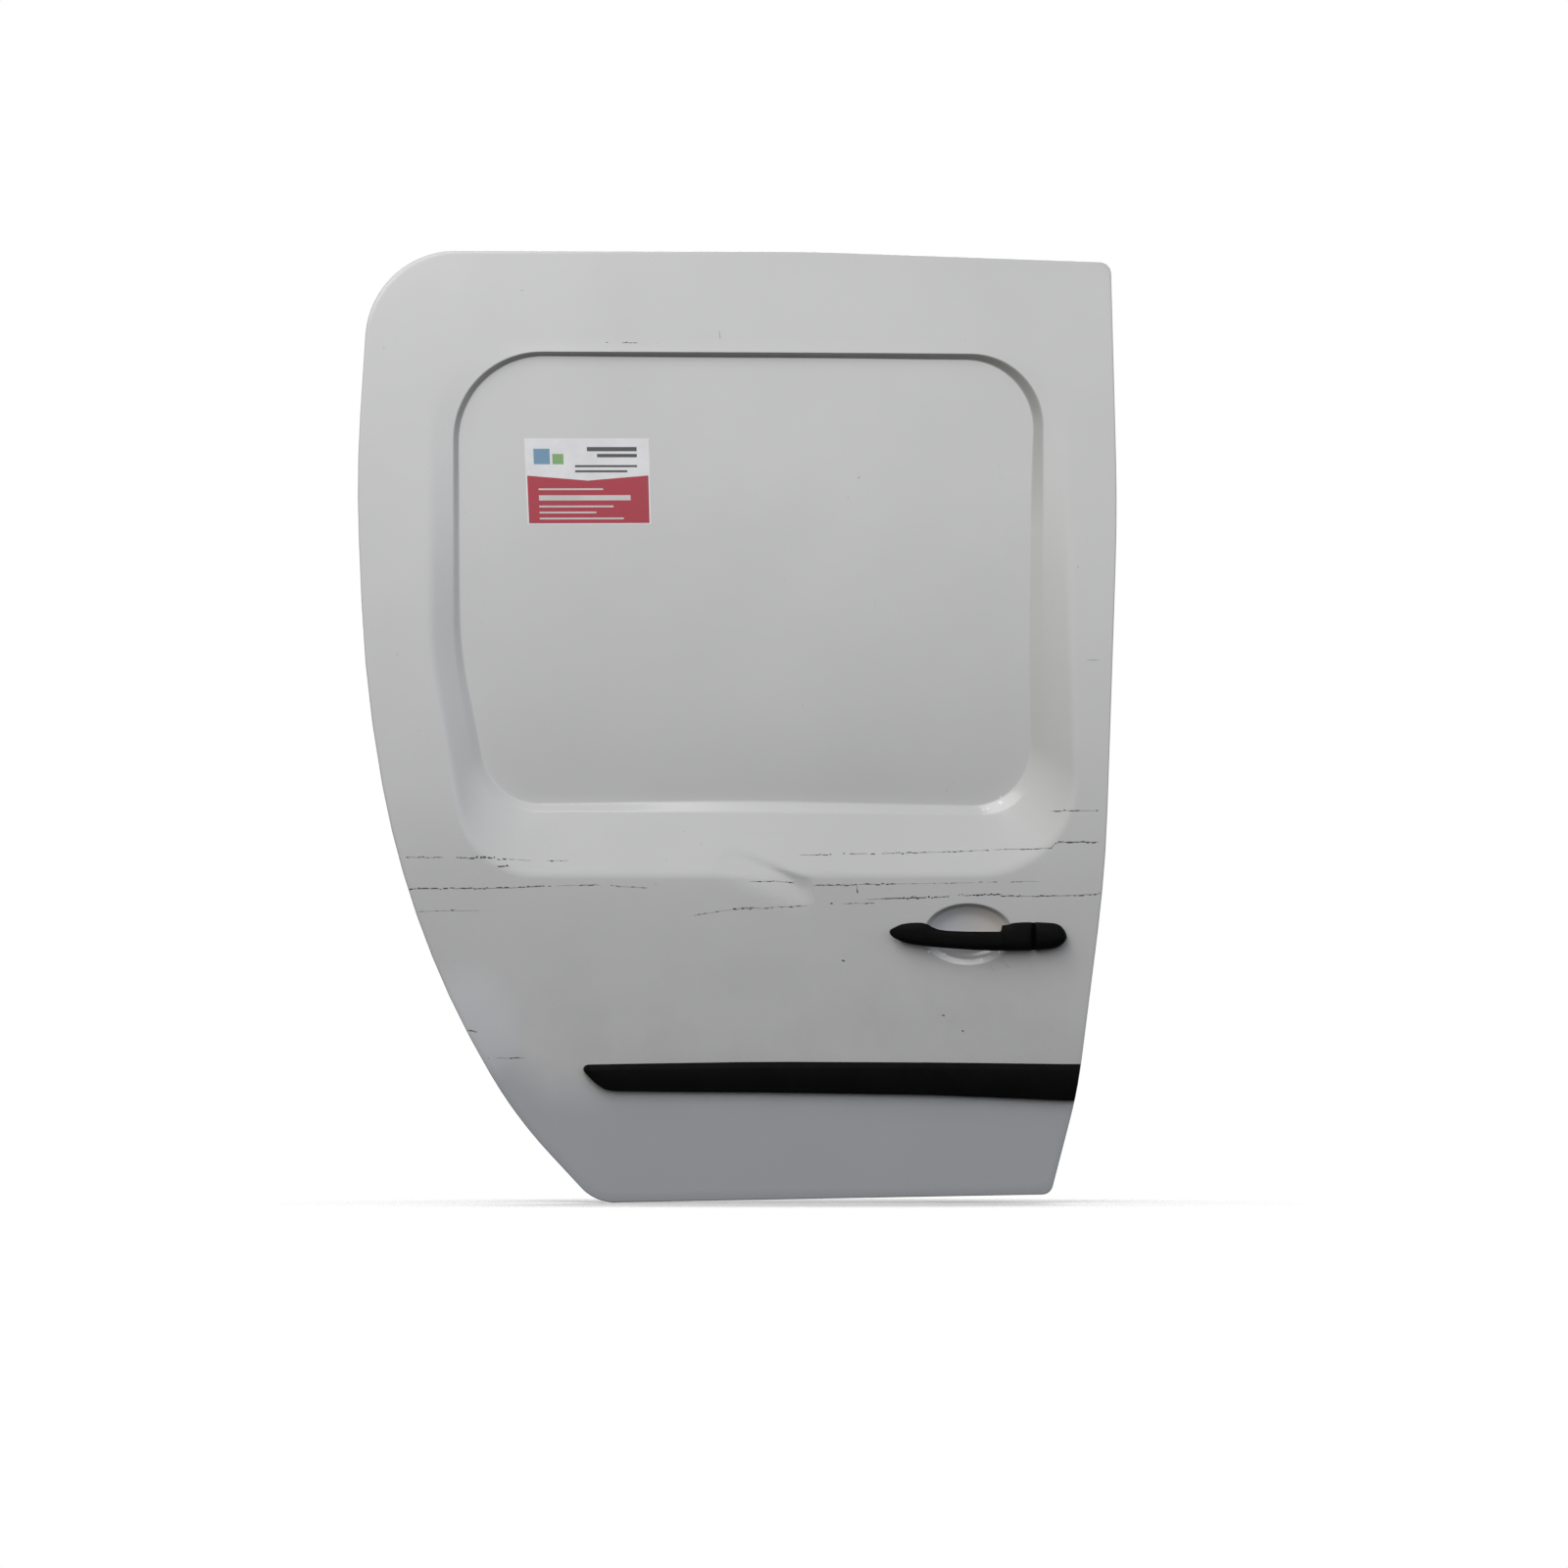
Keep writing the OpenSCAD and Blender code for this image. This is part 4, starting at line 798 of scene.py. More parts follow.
    def outward(self, bm):
        """Turns the faces so that the outer face looks away from the leaf."""
        low = min(bm.faces, key=lambda f: (f.calc_center_median() - at(PAN_X, 0, 300)).length)
        if low.normal.y > 0:
            bmesh.ops.reverse_faces(bm, faces=bm.faces)

    def bowl_place(self, vert):
        """Place of a vertex about the middle of the bowl, in shares of the bowl's half sizes."""
        x = vert.co.x * 1000.0 + SEAT_X - BOWL_X
        z = vert.co.z * 1000.0 + SEAT_Z - BOWL_Z
        return x / BOWL_HALF_L, z / BOWL_HALF_H

    def bowl_edges(self, bm):
        """Open edges round the hole that is cut for the bowl."""
        open_edges = [e for e in bm.edges if len(e.link_faces) == 1]
        return [e for e in open_edges if all(math.hypot(*self.bowl_place(v)) < 2.2 for v in e.verts)]

    def cut_bowl(self, bm):
        """Replaces the skin over the handle bowl by the bowl's own rings."""
        crease_shade = bm.verts.layers.float["crease_shade"]
        inner = at(0, 15, 0).y
        gone = [f for f in bm.faces if any(math.hypot(*self.bowl_place(v)) < 1.26 for v in f.verts)]
        gone = [f for f in gone if f.calc_center_median().y < inner]
        bmesh.ops.delete(bm, geom=gone, context="FACES")
        bmesh.ops.subdivide_edges(bm, edges=self.bowl_edges(bm), cuts=1)
        ring = self.in_order(self.bowl_edges(bm))
        places = [self.bowl_place(v) for v in ring]
        first = min(range(len(ring)), key=lambda i: abs(places[i][1]) + 500 * (places[i][0] < 0))
        ring = ring[first:] + ring[:first]
        if ring[len(ring) // 4].co.z < ring[0].co.z:
            ring = [ring[0]] + ring[:0:-1]
        turns = self.turns_of(ring)
        for k in BOWL_ROWS:
            ring = next_ring(bm, ring)
            for vert, t in zip(ring, turns):
                z = BOWL_Z + k * BOWL_HALF_H * math.sin(t)
                vert.co = at(BOWL_X + k * BOWL_HALF_L * math.cos(t), skin_y(z) + sunk(k * BOWL_HALF_H), z)
                # Painted shade on the upper rim of the bowl.
                vert[crease_shade] = max(0.0, math.sin(t)) if 0.9 < k < 1.01 else 0.0
        bmesh.ops.contextual_create(bm, geom=ring)

    def turns_of(self, ring):
        """Angles of the ring's vertices about the middle of the bowl, evened out over nine neighbours."""
        angles = []
        for vert in ring:
            x, z = self.bowl_place(vert)
            angle = math.atan2(z, x)
            while angles and angle < angles[-1] - math.pi:
                angle += math.tau
            angles.append(angle)
        count = len(angles)
        even = []
        for i in range(count):
            near = 0.0
            for k in range(i - 4, i + 5):
                near += angles[k % count] + math.tau * (k // count)
            even.append(near / 9.0)
        return even

    def in_order(self, edges):
        """Vertices of a closed chain of edges, one after the other."""
        left = set(edges)
        edge = edges[0]
        ring = list(edge.verts)
        left.discard(edge)
        while left:
            edge = next(e for e in ring[-1].link_edges if e in left)
            left.discard(edge)
            ring.append(edge.other_vert(ring[-1]))
        ring.pop()
        return ring


def section(x, z_low, z_high, y_front, y_back, front=2.5, back=5.0):
    """Closed handle section at one place along the leaf: round in front and flatter behind."""
    spots = []
    for k in range(SECTION_POINTS):
        t = math.tau * k / SECTION_POINTS
        c = math.cos(t)
        s = math.sin(t)
        power = front if s < 0 else back
        z = (z_low + z_high) / 2 + (z_high - z_low) / 2 * math.copysign(abs(c) ** (2 / power), c)
        y = (y_front + y_back) / 2 + (y_back - y_front) / 2 * math.copysign(abs(s) ** (2 / power), s)
        spots.append(at(x, y, z))
    return spots


def along(points, x):
    """Value at x on straight lines between points (x, value), held at both ends."""
    if x <= points[0][0]:
        return points[0][1]
    for (xa, va), (xb, vb) in zip(points, points[1:]):
        if x <= xb:
            return va + (vb - va) * (x - xa) / (xb - xa)
    return points[-1][1]


# Points of each handle section, and the length of the lever's point, where its sections are rounder behind
SECTION_POINTS = 44
POINT_L = 6

# Lever sections, from its pointed rear end: distance, and height over or under the handle line
LEVER_TOP = [
    (0, 6.0), (0.6, 7.9), (1.8, 9.0), (5.5, 11.0), (10.5, 13.3), (15.4, 15.3), (20.3, 16.2), (26, 16.9),
    (33, 17.2), (40, 17.2), (45, 16.2), (49, 14.6), (53, 12.0), (58, 9.8), (63, 8.3), (72, 7.1), (82, 6.6),
    (95, 6.1), (120, 5.9), (138.6, 5.9), (140.0, 6.6), (140.7, 9.0), (141.1, 12.4), (141.9, 13.8),
    (146, 14.4), (150, 15.0), (153, 16.2), (157, 17.0), (165, 17.6), (178.4, 17.9),
]
LEVER_LOW = [
    (0, 4.6), (0.6, 2.8), (2.4, 0.4), (5.5, -2.0), (10.5, -4.6), (15.4, -6.9), (20.3, -8.3), (26, -9.8),
    (33, -10.9), (43, -12.2), (68, -14.6), (101, -17.0), (130, -18.3), (160, -18.2), (178.4, -17.9),
]

# Lever sections: distance, and how far the face and the back stand in from the lever's full thickness
LEVER_FACE = [
    (0, 12.5), (1, 10.5), (4, 8.2), (8, 6.6), (16, 4.6), (30, 3.2), (50, 1.2), (80, 0.2), (120, 0.0),
    (170, 0.4), (176.5, 1.0), (178.4, 2.6),
]
LEVER_HOLLOW = [
    (0, 9.8), (10, 6.2), (20, 2.6), (26, 1.2), (30, 1.8), (36, 3.2), (50, 5.4), (75, 6.4), (105, 6.0),
    (125, 3.6), (138, 0.4), (178.4, 0.0),
]
LEVER_PLACES = [
    0, 0.3, 0.9, 2, 3.6, 5.5, 8, 10.5, 13, 15.4, 18, 22, 27, 33, 37, 41, 44, 47, 50, 53, 56, 59, 63, 67, 72,
    77, 84, 94, 104, 114, 124, 132, 137, 138.6, 139.6, 140.3, 140.7, 141.1, 141.9, 144, 147, 150, 151.5,
    153, 155, 158, 165, 171, 175, 177.4, 178.4,
]

# Cap sections, from the seam to its round front end
CAP_TOP = [
    (0, 17.9), (12, 17.4), (22, 16.7), (28, 15.4), (32.5, 12.6), (36, 8.6), (38.4, 3.8), (39.6, -0.6),
]
CAP_LOW = [
    (0, -18.1), (10, -17.4), (20, -16.0), (27, -14.3), (32.5, -11.4), (36, -8.2), (38.4, -4.6),
    (39.6, -1.8),
]
CAP_FACE = [
    (0, 2.6), (1.6, 1.1), (5, 0.5), (20, 0.8), (30, 2.0), (35, 4.0), (38, 7.6), (39.6, 13.0),
]
CAP_PLACES = [0, 0.5, 1.2, 2.2, 5, 9, 14, 19, 23, 27, 30, 32.5, 34.5, 36, 37.3, 38.4, 39.1, 39.6]

# Thin plate between cap and skin: how far it starts before the cap, its length, height and thickness
PLATE_BEFORE = 14
PLATE_L = 22
PLATE_H = 34.5
PLATE_T = 0.75


class DOORLEAF_OT_handle(bpy.types.Operator):
    """Pull lever and its fixed cap"""

    bl_idname = "doorleaf.handle"
    bl_label = "Pull handle"

    def execute(self, context):
        sizes = context.scene.door_leaf
        black = grained_plastic("Handle plastic", sizes, tuple(sizes.black), 0.05)
        stations = []
        for x in LEVER_PLACES:
            low = HANDLE_Z + along(LEVER_LOW, x)
            top = HANDLE_Z + along(LEVER_TOP, x)
            y_back = LEVER_BACK - along(LEVER_HOLLOW, x)
            y_front = min(LEVER_FRONT + along(LEVER_FACE, x), y_back - 0.8)
            back = 5.0 if x > POINT_L else 2.4
            stations.append(section(LEVER_START + x, low, top, y_front, y_back, back=back))
        lever = piece("lever_grip", loft(stations), black, "pull_handle")
        sharpen(lever, 50)
        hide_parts("handle_lever")

        stations = []
        for x in CAP_PLACES:
            low = HANDLE_Z + along(CAP_LOW, x)
            top = HANDLE_Z + along(CAP_TOP, x)
            y_front = LEVER_FRONT + along(CAP_FACE, x)
            y_back = skin_y((low + top) / 2) - 0.15
            stations.append(section(CAP_START + x, low, top, y_front, y_back, back=9.0))
        bm = loft(stations)
        for vert in bmesh.ops.create_cube(bm, size=1.0)["verts"]:
            x = CAP_START - PLATE_BEFORE + (vert.co.x + 0.5) * PLATE_L
            z = HANDLE_Z + vert.co.z * PLATE_H
            vert.co = at(x, skin_y(z) - 0.1 - (0.5 - vert.co.y) * PLATE_T, z)
        cap = piece("lock_cap", bm, black)
        sharpen(cap, 50)
        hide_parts("handle_cap")
        return {"FINISHED"}


# Moulding: height of its upper and lower edge along the leaf, and the places of its sections
STRIP_TOP = [
    (283.2, 170.4), (284.2, 172.4), (286, 174.2), (288.5, 175.2), (293, 175.5), (367, 176.8), (511, 179.0),
    (733, 178.0), (908, 175.8),
]
STRIP_LOW = [
    (283.2, 169.5), (284.2, 166.9), (286.5, 164.1), (296, 154.0), (304, 147.6), (310, 144.4), (317, 142.6),
    (326, 141.8), (420, 140.9), (511, 140.3), (733, 136.8), (905, 129.4),
]
STRIP_PLACES = [
    283.4, 284.2, 285.2, 286.5, 288.5, 291, 294, 298, 302, 306, 310, 315, 320, 326, 340, 367, 420, 480, 540,
    600, 660, 720, 780, 830, 870,
]

# Moulding: where its rear end begins and grows to full depth, where it turns to the edge, and its depth
STRIP_START = 281.5
STRIP_GROWS = 6.0
STRIP_END = 890
STRIP_OUT = 11.0


class DOORLEAF_OT_moulding(bpy.types.Operator):
    """Black side moulding with its bevelled upper edge"""

    bl_idname = "doorleaf.moulding"
    bl_label = "Side moulding"

    def execute(self, context):
        sizes = context.scene.door_leaf
        plastic = grained_plastic("Moulding plastic", sizes, tuple(c * 0.8 for c in sizes.black), 0.06)
        stations = [self.profile(x, min(1.0, (x - STRIP_START) / STRIP_GROWS)) for x in STRIP_PLACES]
        stations += [self.end_profile(share) for share in (0.0, 0.55, 0.85, 1.0)]
        moulding = piece("side_strip", loft(stations), plastic)
        sharpen(moulding, 32)
        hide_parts("side_moulding")
        return {"FINISHED"}

    def profile(self, x, fullness):
        """Section with a rounded lower edge, a bevel along the top and a flat back."""
        z_low = along(STRIP_LOW, x)
        tall = max(0.8, along(STRIP_TOP, x) - z_low)
        bevel = min(7.0, tall * 0.4)
        out = STRIP_OUT * (0.72 + 0.28 * fullness)
        nose = min(2.0, tall * 0.2)
        shape = [(-0.3, 0.0), (-(out - nose), 0.0)]
        for k in range(1, 5):
            t = math.radians(22.5 * k)
            shape.append((-(out - nose) - nose * math.sin(t), nose - nose * math.cos(t)))
        shape += [(-out, tall * 0.45), (-out, tall - bevel - 0.7)]
        shape += [(-(out - 0.25), tall - bevel + 0.1), (-(out - 0.9), tall - bevel + 0.7)]
        shape += [(-(out - bevel) - 0.5, tall - 0.9), (-(out - bevel) + 0.1, tall - 0.25)]
        shape += [(-(out - bevel) + 0.9, tall), (-0.3, tall)]
        return [at(x, skin_y(z_low + z) + y, z_low + z) for y, z in shape]

    def end_profile(self, share):
        """Section that turns by a share from square to the front edge of the leaf."""
        spots = []
        for spot in self.profile(STRIP_END, 1.0):
            edge = PAN_X + self.edge(spot.z * 1000.0 + SEAT_Z) - 0.6
            spots.append(Vector(((STRIP_END + (edge - STRIP_END) * share - SEAT_X) / 1000.0, spot.y, spot.z)))
        return spots

    def edge(self, z):
        """Distance from the middle of the pan to the front edge at height z."""
        best = 0.0
        for i, a in enumerate(LEAF_OUTLINE):
            b = LEAF_OUTLINE[(i + 1) % len(LEAF_OUTLINE)]
            if (a.y - z) * (b.y - z) <= 0 and a.y != b.y:
                best = max(best, a.x + (b.x - a.x) * (z - a.y) / (b.y - a.y) - PAN_X)
        return best


# Broken scratch lines: photo points, width in millimetres, darkness share and how broken they are
SCRATCHES = [
    ([(415, 874.3), (440, 875), (452, 874.6)], 0.9, 0.5, 0.6),
    ([(466, 875.6), (479, 875.4)], 1.2, 0.5, 0.5),
    ([(479.5, 875.4), (488, 875)], 2.0, 0.9, 0.1),
    ([(490.5, 874.3), (496.5, 874.1)], 2.4, 1.0, 0.0),
    ([(498, 874.4), (503, 875.4)], 1.4, 0.6, 0.1),
    ([(504, 875.6), (517, 876.6)], 1.7, 0.75, 0.3),
    ([(519.5, 876.8), (525, 876.9)], 1.4, 0.5, 0.1),
    ([(528, 877.4), (542, 877.8)], 0.9, 0.3, 0.6),
    ([(558, 878), (580, 878)], 0.9, 0.3, 0.6),
    ([(508, 883.6), (519, 883.9)], 1.7, 0.7, 0.05),
    ([(859, 921.8), (900, 921.2)], 0.8, 0.3, 0.3),
    ([(884, 917.6), (900, 917.2)], 0.9, 0.4, 0.4),
    ([(900, 917), (925, 916.2), (950, 915.6)], 2.1, 1.0, 0.8),
    ([(950, 915.6), (968, 914.8)], 1.4, 0.7, 0.5),
    ([(418, 906.8), (470, 906.6), (520, 906), (556, 904)], 1.2, 0.6, 0.08),
    ([(592, 903.2), (607, 902.6)], 1.2, 0.6, 0.15),
    ([(425, 930), (460, 929), (490, 929)], 0.8, 0.25, 0.4),
    ([(748, 926.7), (775, 926.2)], 0.8, 0.35, 0.2),
    ([(786, 925.4), (823.5, 924.4)], 0.8, 0.4, 0.15),
    ([(847, 922.2), (849.5, 922)], 1.6, 0.7, 0.0),
    ([(978, 913.6), (1000, 912.8), (1021, 912.6)], 1.6, 0.9, 0.45),
    ([(1021, 914), (1060, 914.4), (1100, 913.4), (1122, 911.6)], 1.1, 0.4, 0.1),
    ([(816, 872.3), (848, 872)], 1.0, 0.45, 0.25),
    ([(857, 871.3), (900, 870.8), (941, 869.8)], 1.1, 0.5, 0.25),
    ([(1024, 866.4), (1050, 866.2), (1072, 865.4)], 1.0, 0.5, 0.1),
    ([(1072, 865.2), (1076, 861), (1080, 859.2)], 0.9, 0.35, 0.1),
    ([(1079, 859.2), (1095, 859), (1120, 859.2)], 1.4, 0.8, 0.02),
    ([(765, 899.2), (790, 899), (812, 900.6)], 1.0, 0.45, 0.2),
    ([(812, 903.2), (840, 903.2), (874, 902.7)], 1.3, 0.65, 0.05),
    ([(874, 902), (874.6, 911)], 1.2, 0.6, 0.1),
    ([(876, 902.3), (914, 901.8)], 1.1, 0.5, 0.15),
    ([(1072, 827.6), (1096, 827), (1120, 827.3)], 1.0, 0.28, 0.1),
    ([(1109, 673.5), (1121, 673.4)], 1.0, 0.3, 0.1),
    ([(941, 869.8), (985, 868.4), (1024, 866.6)], 0.8, 0.3, 0.4),
    ([(556, 904), (592, 903.2), (607, 902.6), (660, 906)], 0.8, 0.3, 0.45),
    ([(700, 935), (748, 928), (800, 925.6)], 0.7, 0.25, 0.4),
    ([(914, 901.8), (985, 900.6), (1060, 899)], 0.6, 0.15, 0.5),
    ([(734, 337), (734.4, 344.5)], 1.2, 0.4, 0.1),
    ([(618, 349.6), (634, 349.2), (651, 349.6)], 1.0, 0.5, 0.5),
    ([(478, 1051.6), (487, 1052.4)], 1.1, 0.3, 0.1),
    ([(498, 1079), (516, 1079.6), (535, 1079)], 1.1, 0.3, 0.2),
    ([(859, 979.4), (862, 980.4)], 1.8, 0.35, 0.0),
    ([(961, 1036), (963.6, 1036.4)], 1.8, 0.35, 0.0),
    ([(981, 1052), (983, 1052.6)], 1.6, 0.3, 0.0),
]

# Small painted glints, white highlights on the bowl and the lower corner of the pan: photo point, length in
# pixels and width in millimetres
PAINTED_GLINTS = [
    (948, 970.5, 3.5, 4.0),
    (963.5, 973.5, 3.0, 3.4),
    (1001, 979.5, 3.2, 5.0),
    (1019.5, 971.5, 2.4, 4.2),
    (1021, 819, 5.0, 4.2),
    (1021, 813, 2.0, 1.8),
    (1008, 825, 3.0, 1.8),
    (1003, 826.5, 2.4, 1.6),
]

# Colours of the marks, and how far they stand before the skin
# The white group holds painted glints, not paint damage.
SCRATCH_TONES = {"deep": (0.04, 0.038, 0.035), "light": (0.16, 0.155, 0.15), "painted_glints": (0.94, 0.94, 0.95)}
MARK_RISE = 0.16


class DOORLEAF_OT_scratches(bpy.types.Operator):
    """Scratches across the leaf, as thin broken lines that lie on the skin, and small white painted glints"""

    bl_idname = "doorleaf.scratches"
    bl_label = "Scratches"

    def execute(self, context):
        sizes = context.scene.door_leaf
        chance = random.Random(sizes.scratch_seed)
        meshes = {group: bmesh.new() for group in SCRATCH_TONES}
        for line, width, dark, broken in SCRATCHES:
            self.broken_line(meshes, [from_photo(*p) for p in line], width, dark, broken, chance, sizes)
        # Painted glints: short white painted highlights where light catches the bowl and the lower corner of
        # the pan.
        for u, v, long, thick in PAINTED_GLINTS:
            start = from_photo(u - long / 2, v)
            self.dash(meshes["painted_glints"], start, Vector((1.0, 0.0)), long * MM_PER_PIXEL, thick, chance, sizes)
        for group, bm in meshes.items():
            piece("scratches_" + group, bm, scratched(group, SCRATCH_TONES[group]))
        return {"FINISHED"}

    def broken_line(self, meshes, spots, width, dark, broken, chance, sizes):
        """A thin pale line along the points, with short dark marks where the paint is cut through."""
        for a, b in zip(spots, spots[1:]):
            length = (b - a).length
            ahead = (b - a).normalized()
            side = Vector((-ahead.y, ahead.x))
            done = 0.0
            while done < length:
                dash = min(length - done, 6.0 + chance.random() * 20.0)
                if chance.random() >= broken * 0.45:
                    thick = width * (0.4 + 0.35 * dark)
                    self.dash(meshes["light"], a + ahead * done, ahead, dash + 0.5, thick, chance, sizes)
                done += dash
            done = 0.0
            while done < length:
                dash = min(length - done, 1.2 + chance.random() * (1.5 + 8.0 * (1.0 - broken) ** 2))
                if chance.random() < 0.15 + dark * (1.3 - 0.7 * broken):
                    thick = 0.5 + width * (0.35 + 0.6 * chance.random())
                    off = side * (chance.random() - 0.5) * (0.6 + width)
                    self.dash(meshes["deep"], a + ahead * done + off, ahead, dash, thick, chance, sizes)
                done += dash + chance.random() * 3.5

    def dash(self, bm, start, ahead, length, width, chance, sizes):
        """One short flat mark that is wide in the middle and sways a little."""
        made = bmesh.ops.create_grid(bm, x_segments=4, y_segments=1, size=0.5)["verts"]
        side = Vector((-ahead.y, ahead.x))
        sway = (chance.random() - 0.5) * 0.7
        for vert in made:
            t = vert.co.x + 0.5
            thick = width * (0.45 + 0.55 * math.sin(math.pi * min(0.97, max(0.03, t))))
            here = start + ahead * length * t + side * (vert.co.y * thick + sway * math.sin(6.3 * t))
            vert.co = at(here.x, face_y(here.x, here.y, sizes) - MARK_RISE, here.y)


# Sticker: its corners in the photo, and its areas by name, shares of its width and height, rise and colour
STICKER_CORNERS = [(534.7, 447.2), (662, 447.2), (664.4, 535), (538.5, 535.4)]
INK = (0.07, 0.07, 0.08)
PALE_INK = (0.66, 0.62, 0.62)
STICKER = [
    ("white", (0.0, 1.0, 0.0, 1.0), 0.18, (0.82, 0.82, 0.84)),
    ("red", (0.012, 0.988, 0.49, 0.985), 0.22, (0.44, 0.018, 0.045)),
    ("block_blue", (0.07, 0.2, 0.12, 0.3), 0.22, (0.16, 0.32, 0.48)),
    ("block_green", (0.22, 0.31, 0.18, 0.3), 0.22, (0.22, 0.42, 0.16)),
    ("ink_0", (0.5, 0.9, 0.1, 0.15), 0.22, INK),
    ("ink_1", (0.58, 0.9, 0.18, 0.22), 0.22, INK),
    ("ink_2", (0.4, 0.9, 0.31, 0.335), 0.22, INK),
    ("ink_3", (0.4, 0.82, 0.37, 0.395), 0.22, INK),
    ("pale_0", (0.1, 0.62, 0.58, 0.6), 0.26, PALE_INK),
    ("pale_1", (0.1, 0.84, 0.66, 0.72), 0.26, PALE_INK),
    ("pale_2", (0.1, 0.7, 0.78, 0.8), 0.26, PALE_INK),
    ("pale_3", (0.1, 0.56, 0.85, 0.87), 0.26, PALE_INK),
    ("pale_4", (0.1, 0.78, 0.92, 0.94), 0.26, PALE_INK),
]

# How far the upper edge of the red area dips at its middle, as a share of the sticker's height
RED_DIP = 0.06


class DOORLEAF_OT_sticker(bpy.types.Operator):
    """Plain two-colour sticker in the upper rear corner of the pan"""

    bl_idname = "doorleaf.sticker"
    bl_label = "Sticker"

    def execute(self, context):
        for name, area, proud, tone in STICKER:
            self.sheet("sticker_" + name, area, proud, tone, RED_DIP if name == "red" else 0.0)
        return {"FINISHED"}

    def sheet(self, name, area, proud, tone, dip):
        """One thin printed area, with its place given in shares of the sticker."""
        u0, u1, v0, v1 = area
        bm = bmesh.new()
        made = bmesh.ops.create_grid(bm, x_segments=12, y_segments=8, size=0.5)["verts"]
        tl, tr, br, bl = [from_photo(*corner) for corner in STICKER_CORNERS]
        for vert in made:
            u = u0 + (u1 - u0) * (vert.co.x + 0.5)
            v = v0 + (v1 - v0) * (0.5 - vert.co.y)
            if dip and vert.co.y > 0.4999:
                v += dip * (1.0 - abs(2.0 * u - 1.0)) - dip
            spot = (tl * (1 - u) + tr * u) * (1 - v) + (bl * (1 - u) + br * u) * v
            vert.co = at(spot.x, floor_y(spot.y) - proud, spot.y)
        bmesh.ops.recalc_face_normals(bm, faces=bm.faces)
        piece(name, bm, printed_film(name.replace("_", " "), tone), smooth=False)


def hit(name, start, toward):
    """Place and normal where a line from start meets a solid, or nothing."""
    found, spot, normal, _ = nodes[name].ray_cast(start, toward)
    return (spot, normal) if found else None


def seat(name, start, toward):
    """Place and normal on a solid, where something is to sit."""
    found = hit(name, start, toward)
    if found is None:
        raise RuntimeError("nothing to sit on at " + name)
    return found


def behind(x, z):
    """A place inboard of the whole leaf, and the way from there to its skin."""
    return at(x, INBOARD, z), Vector((0.0, -1.0, 0.0))


def turned(bm, profile, spot, normal, scale=1.0, sides=24):
    """Adds a turned shape to a mesh, standing on a place along its normal."""
    rise = normal.normalized()
    right = rise.orthogonal().normalized()
    ahead = rise.cross(right)
    part = bmesh.new()
    bmesh.ops.create_circle(part, cap_ends=False, radius=1.0, segments=sides)
    part.verts.ensure_lookup_table()
    ring = list(part.verts)
    for index, (radius, up, form) in enumerate(profile):
        if index:
            ring = next_ring(part, ring)
        spots = []
        for k in range(sides):
            t = math.tau * k / sides
            r = radius
            if form > 0:
                flat = math.cos(math.pi / 6) / math.cos((t % (math.pi / 3)) - math.pi / 6)
                r *= 1.0 + form * (flat - 1.0)
            if form < 0:
                r *= 1.0 + STAR_DEPTH * math.cos(6 * t)
            out = right * math.cos(t) + ahead * math.sin(t)
            spots.append(spot + out * r * scale / 1000.0 + rise * up * scale / 1000.0)
        move(ring, spots)
    bmesh.ops.contextual_create(part, geom=ring)
    bmesh.ops.recalc_face_normals(part, faces=part.faces)
    cap = max(part.faces, key=lambda f: len(f.verts))
    if cap.normal.dot(rise) < 0:
        bmesh.ops.reverse_faces(part, faces=part.faces)
    mesh = bpy.data.meshes.new("part")
    part.to_mesh(mesh)
    part.free()
    bm.from_mesh(mesh)
    bpy.data.meshes.remove(mesh)


# Turned shapes: radius, height and form, where form 1 is a hexagon and -1 a star
STAR_DEPTH = 0.13
FLANGE_BOLT = [
    (9, -0.3, 0), (9, 1.0, 0), (8.5, 1.5, 0), (7.6, 1.8, 0.9), (7.5, 2.1, 1), (7.5, 5.6, 1),
    (7.0, 6.2, 0.7), (6.2, 6.5, 0.2), (5.6, 6.2, 0), (5.2, 6.1, 0),
]
STAR_SCREW = [
    (6.2, -0.2, 0), (6.0, 1.2, 0), (5.2, 2.3, 0), (3.4, 2.9, 0), (2.9, 2.9, -1), (2.7, 1.2, -1),
    (1.0, 1.0, 0),
]
PLUG = [
    (1.24, -0.02, 0), (1.3, 0.06, 0), (1.24, 0.16, 0), (0.98, 0.2, 0), (0.86, 0.08, 0), (0.5, 0.06, 0),
    (0.2, 0.1, 0),
]
CLIP = [
    (7.4, -0.2, 0), (7.4, 0.9, 0), (6.6, 1.5, 0), (3.0, 1.8, 0), (2.6, 4.2, 0), (4.3, 5.6, 0),
    (2.6, 7.4, 0), (4.1, 8.8, 0), (2.4, 11.0, 0), (0.9, 13.0, 0),
]
WELD = [
    (3.8, 0.0, 0), (3.5, 0.2, 0), (2.8, 0.16, 0), (2.3, 0.05, 0), (0.8, 0.03, 0),
]

# Bolts by the solid they sit on, their size and their places
BOLTS = [
    ("upper_arm", 1.0, [(756, 1104), (834, 1104), (795, 1075.5)]),
    ("lower_arm", 1.0, [(706, 125), (804, 125), (706, 82), (804, 82)]),
    ("control_plate", 0.62, [(652, 464), (748, 464), (700, 461)]),
]

# Latches: height and side, and the places of the screws round the mouth
LATCHES = [(515, 1), (640, -1)]
LATCH_SCREWS = [(-9, 32), (9, 32), (0, -32)]

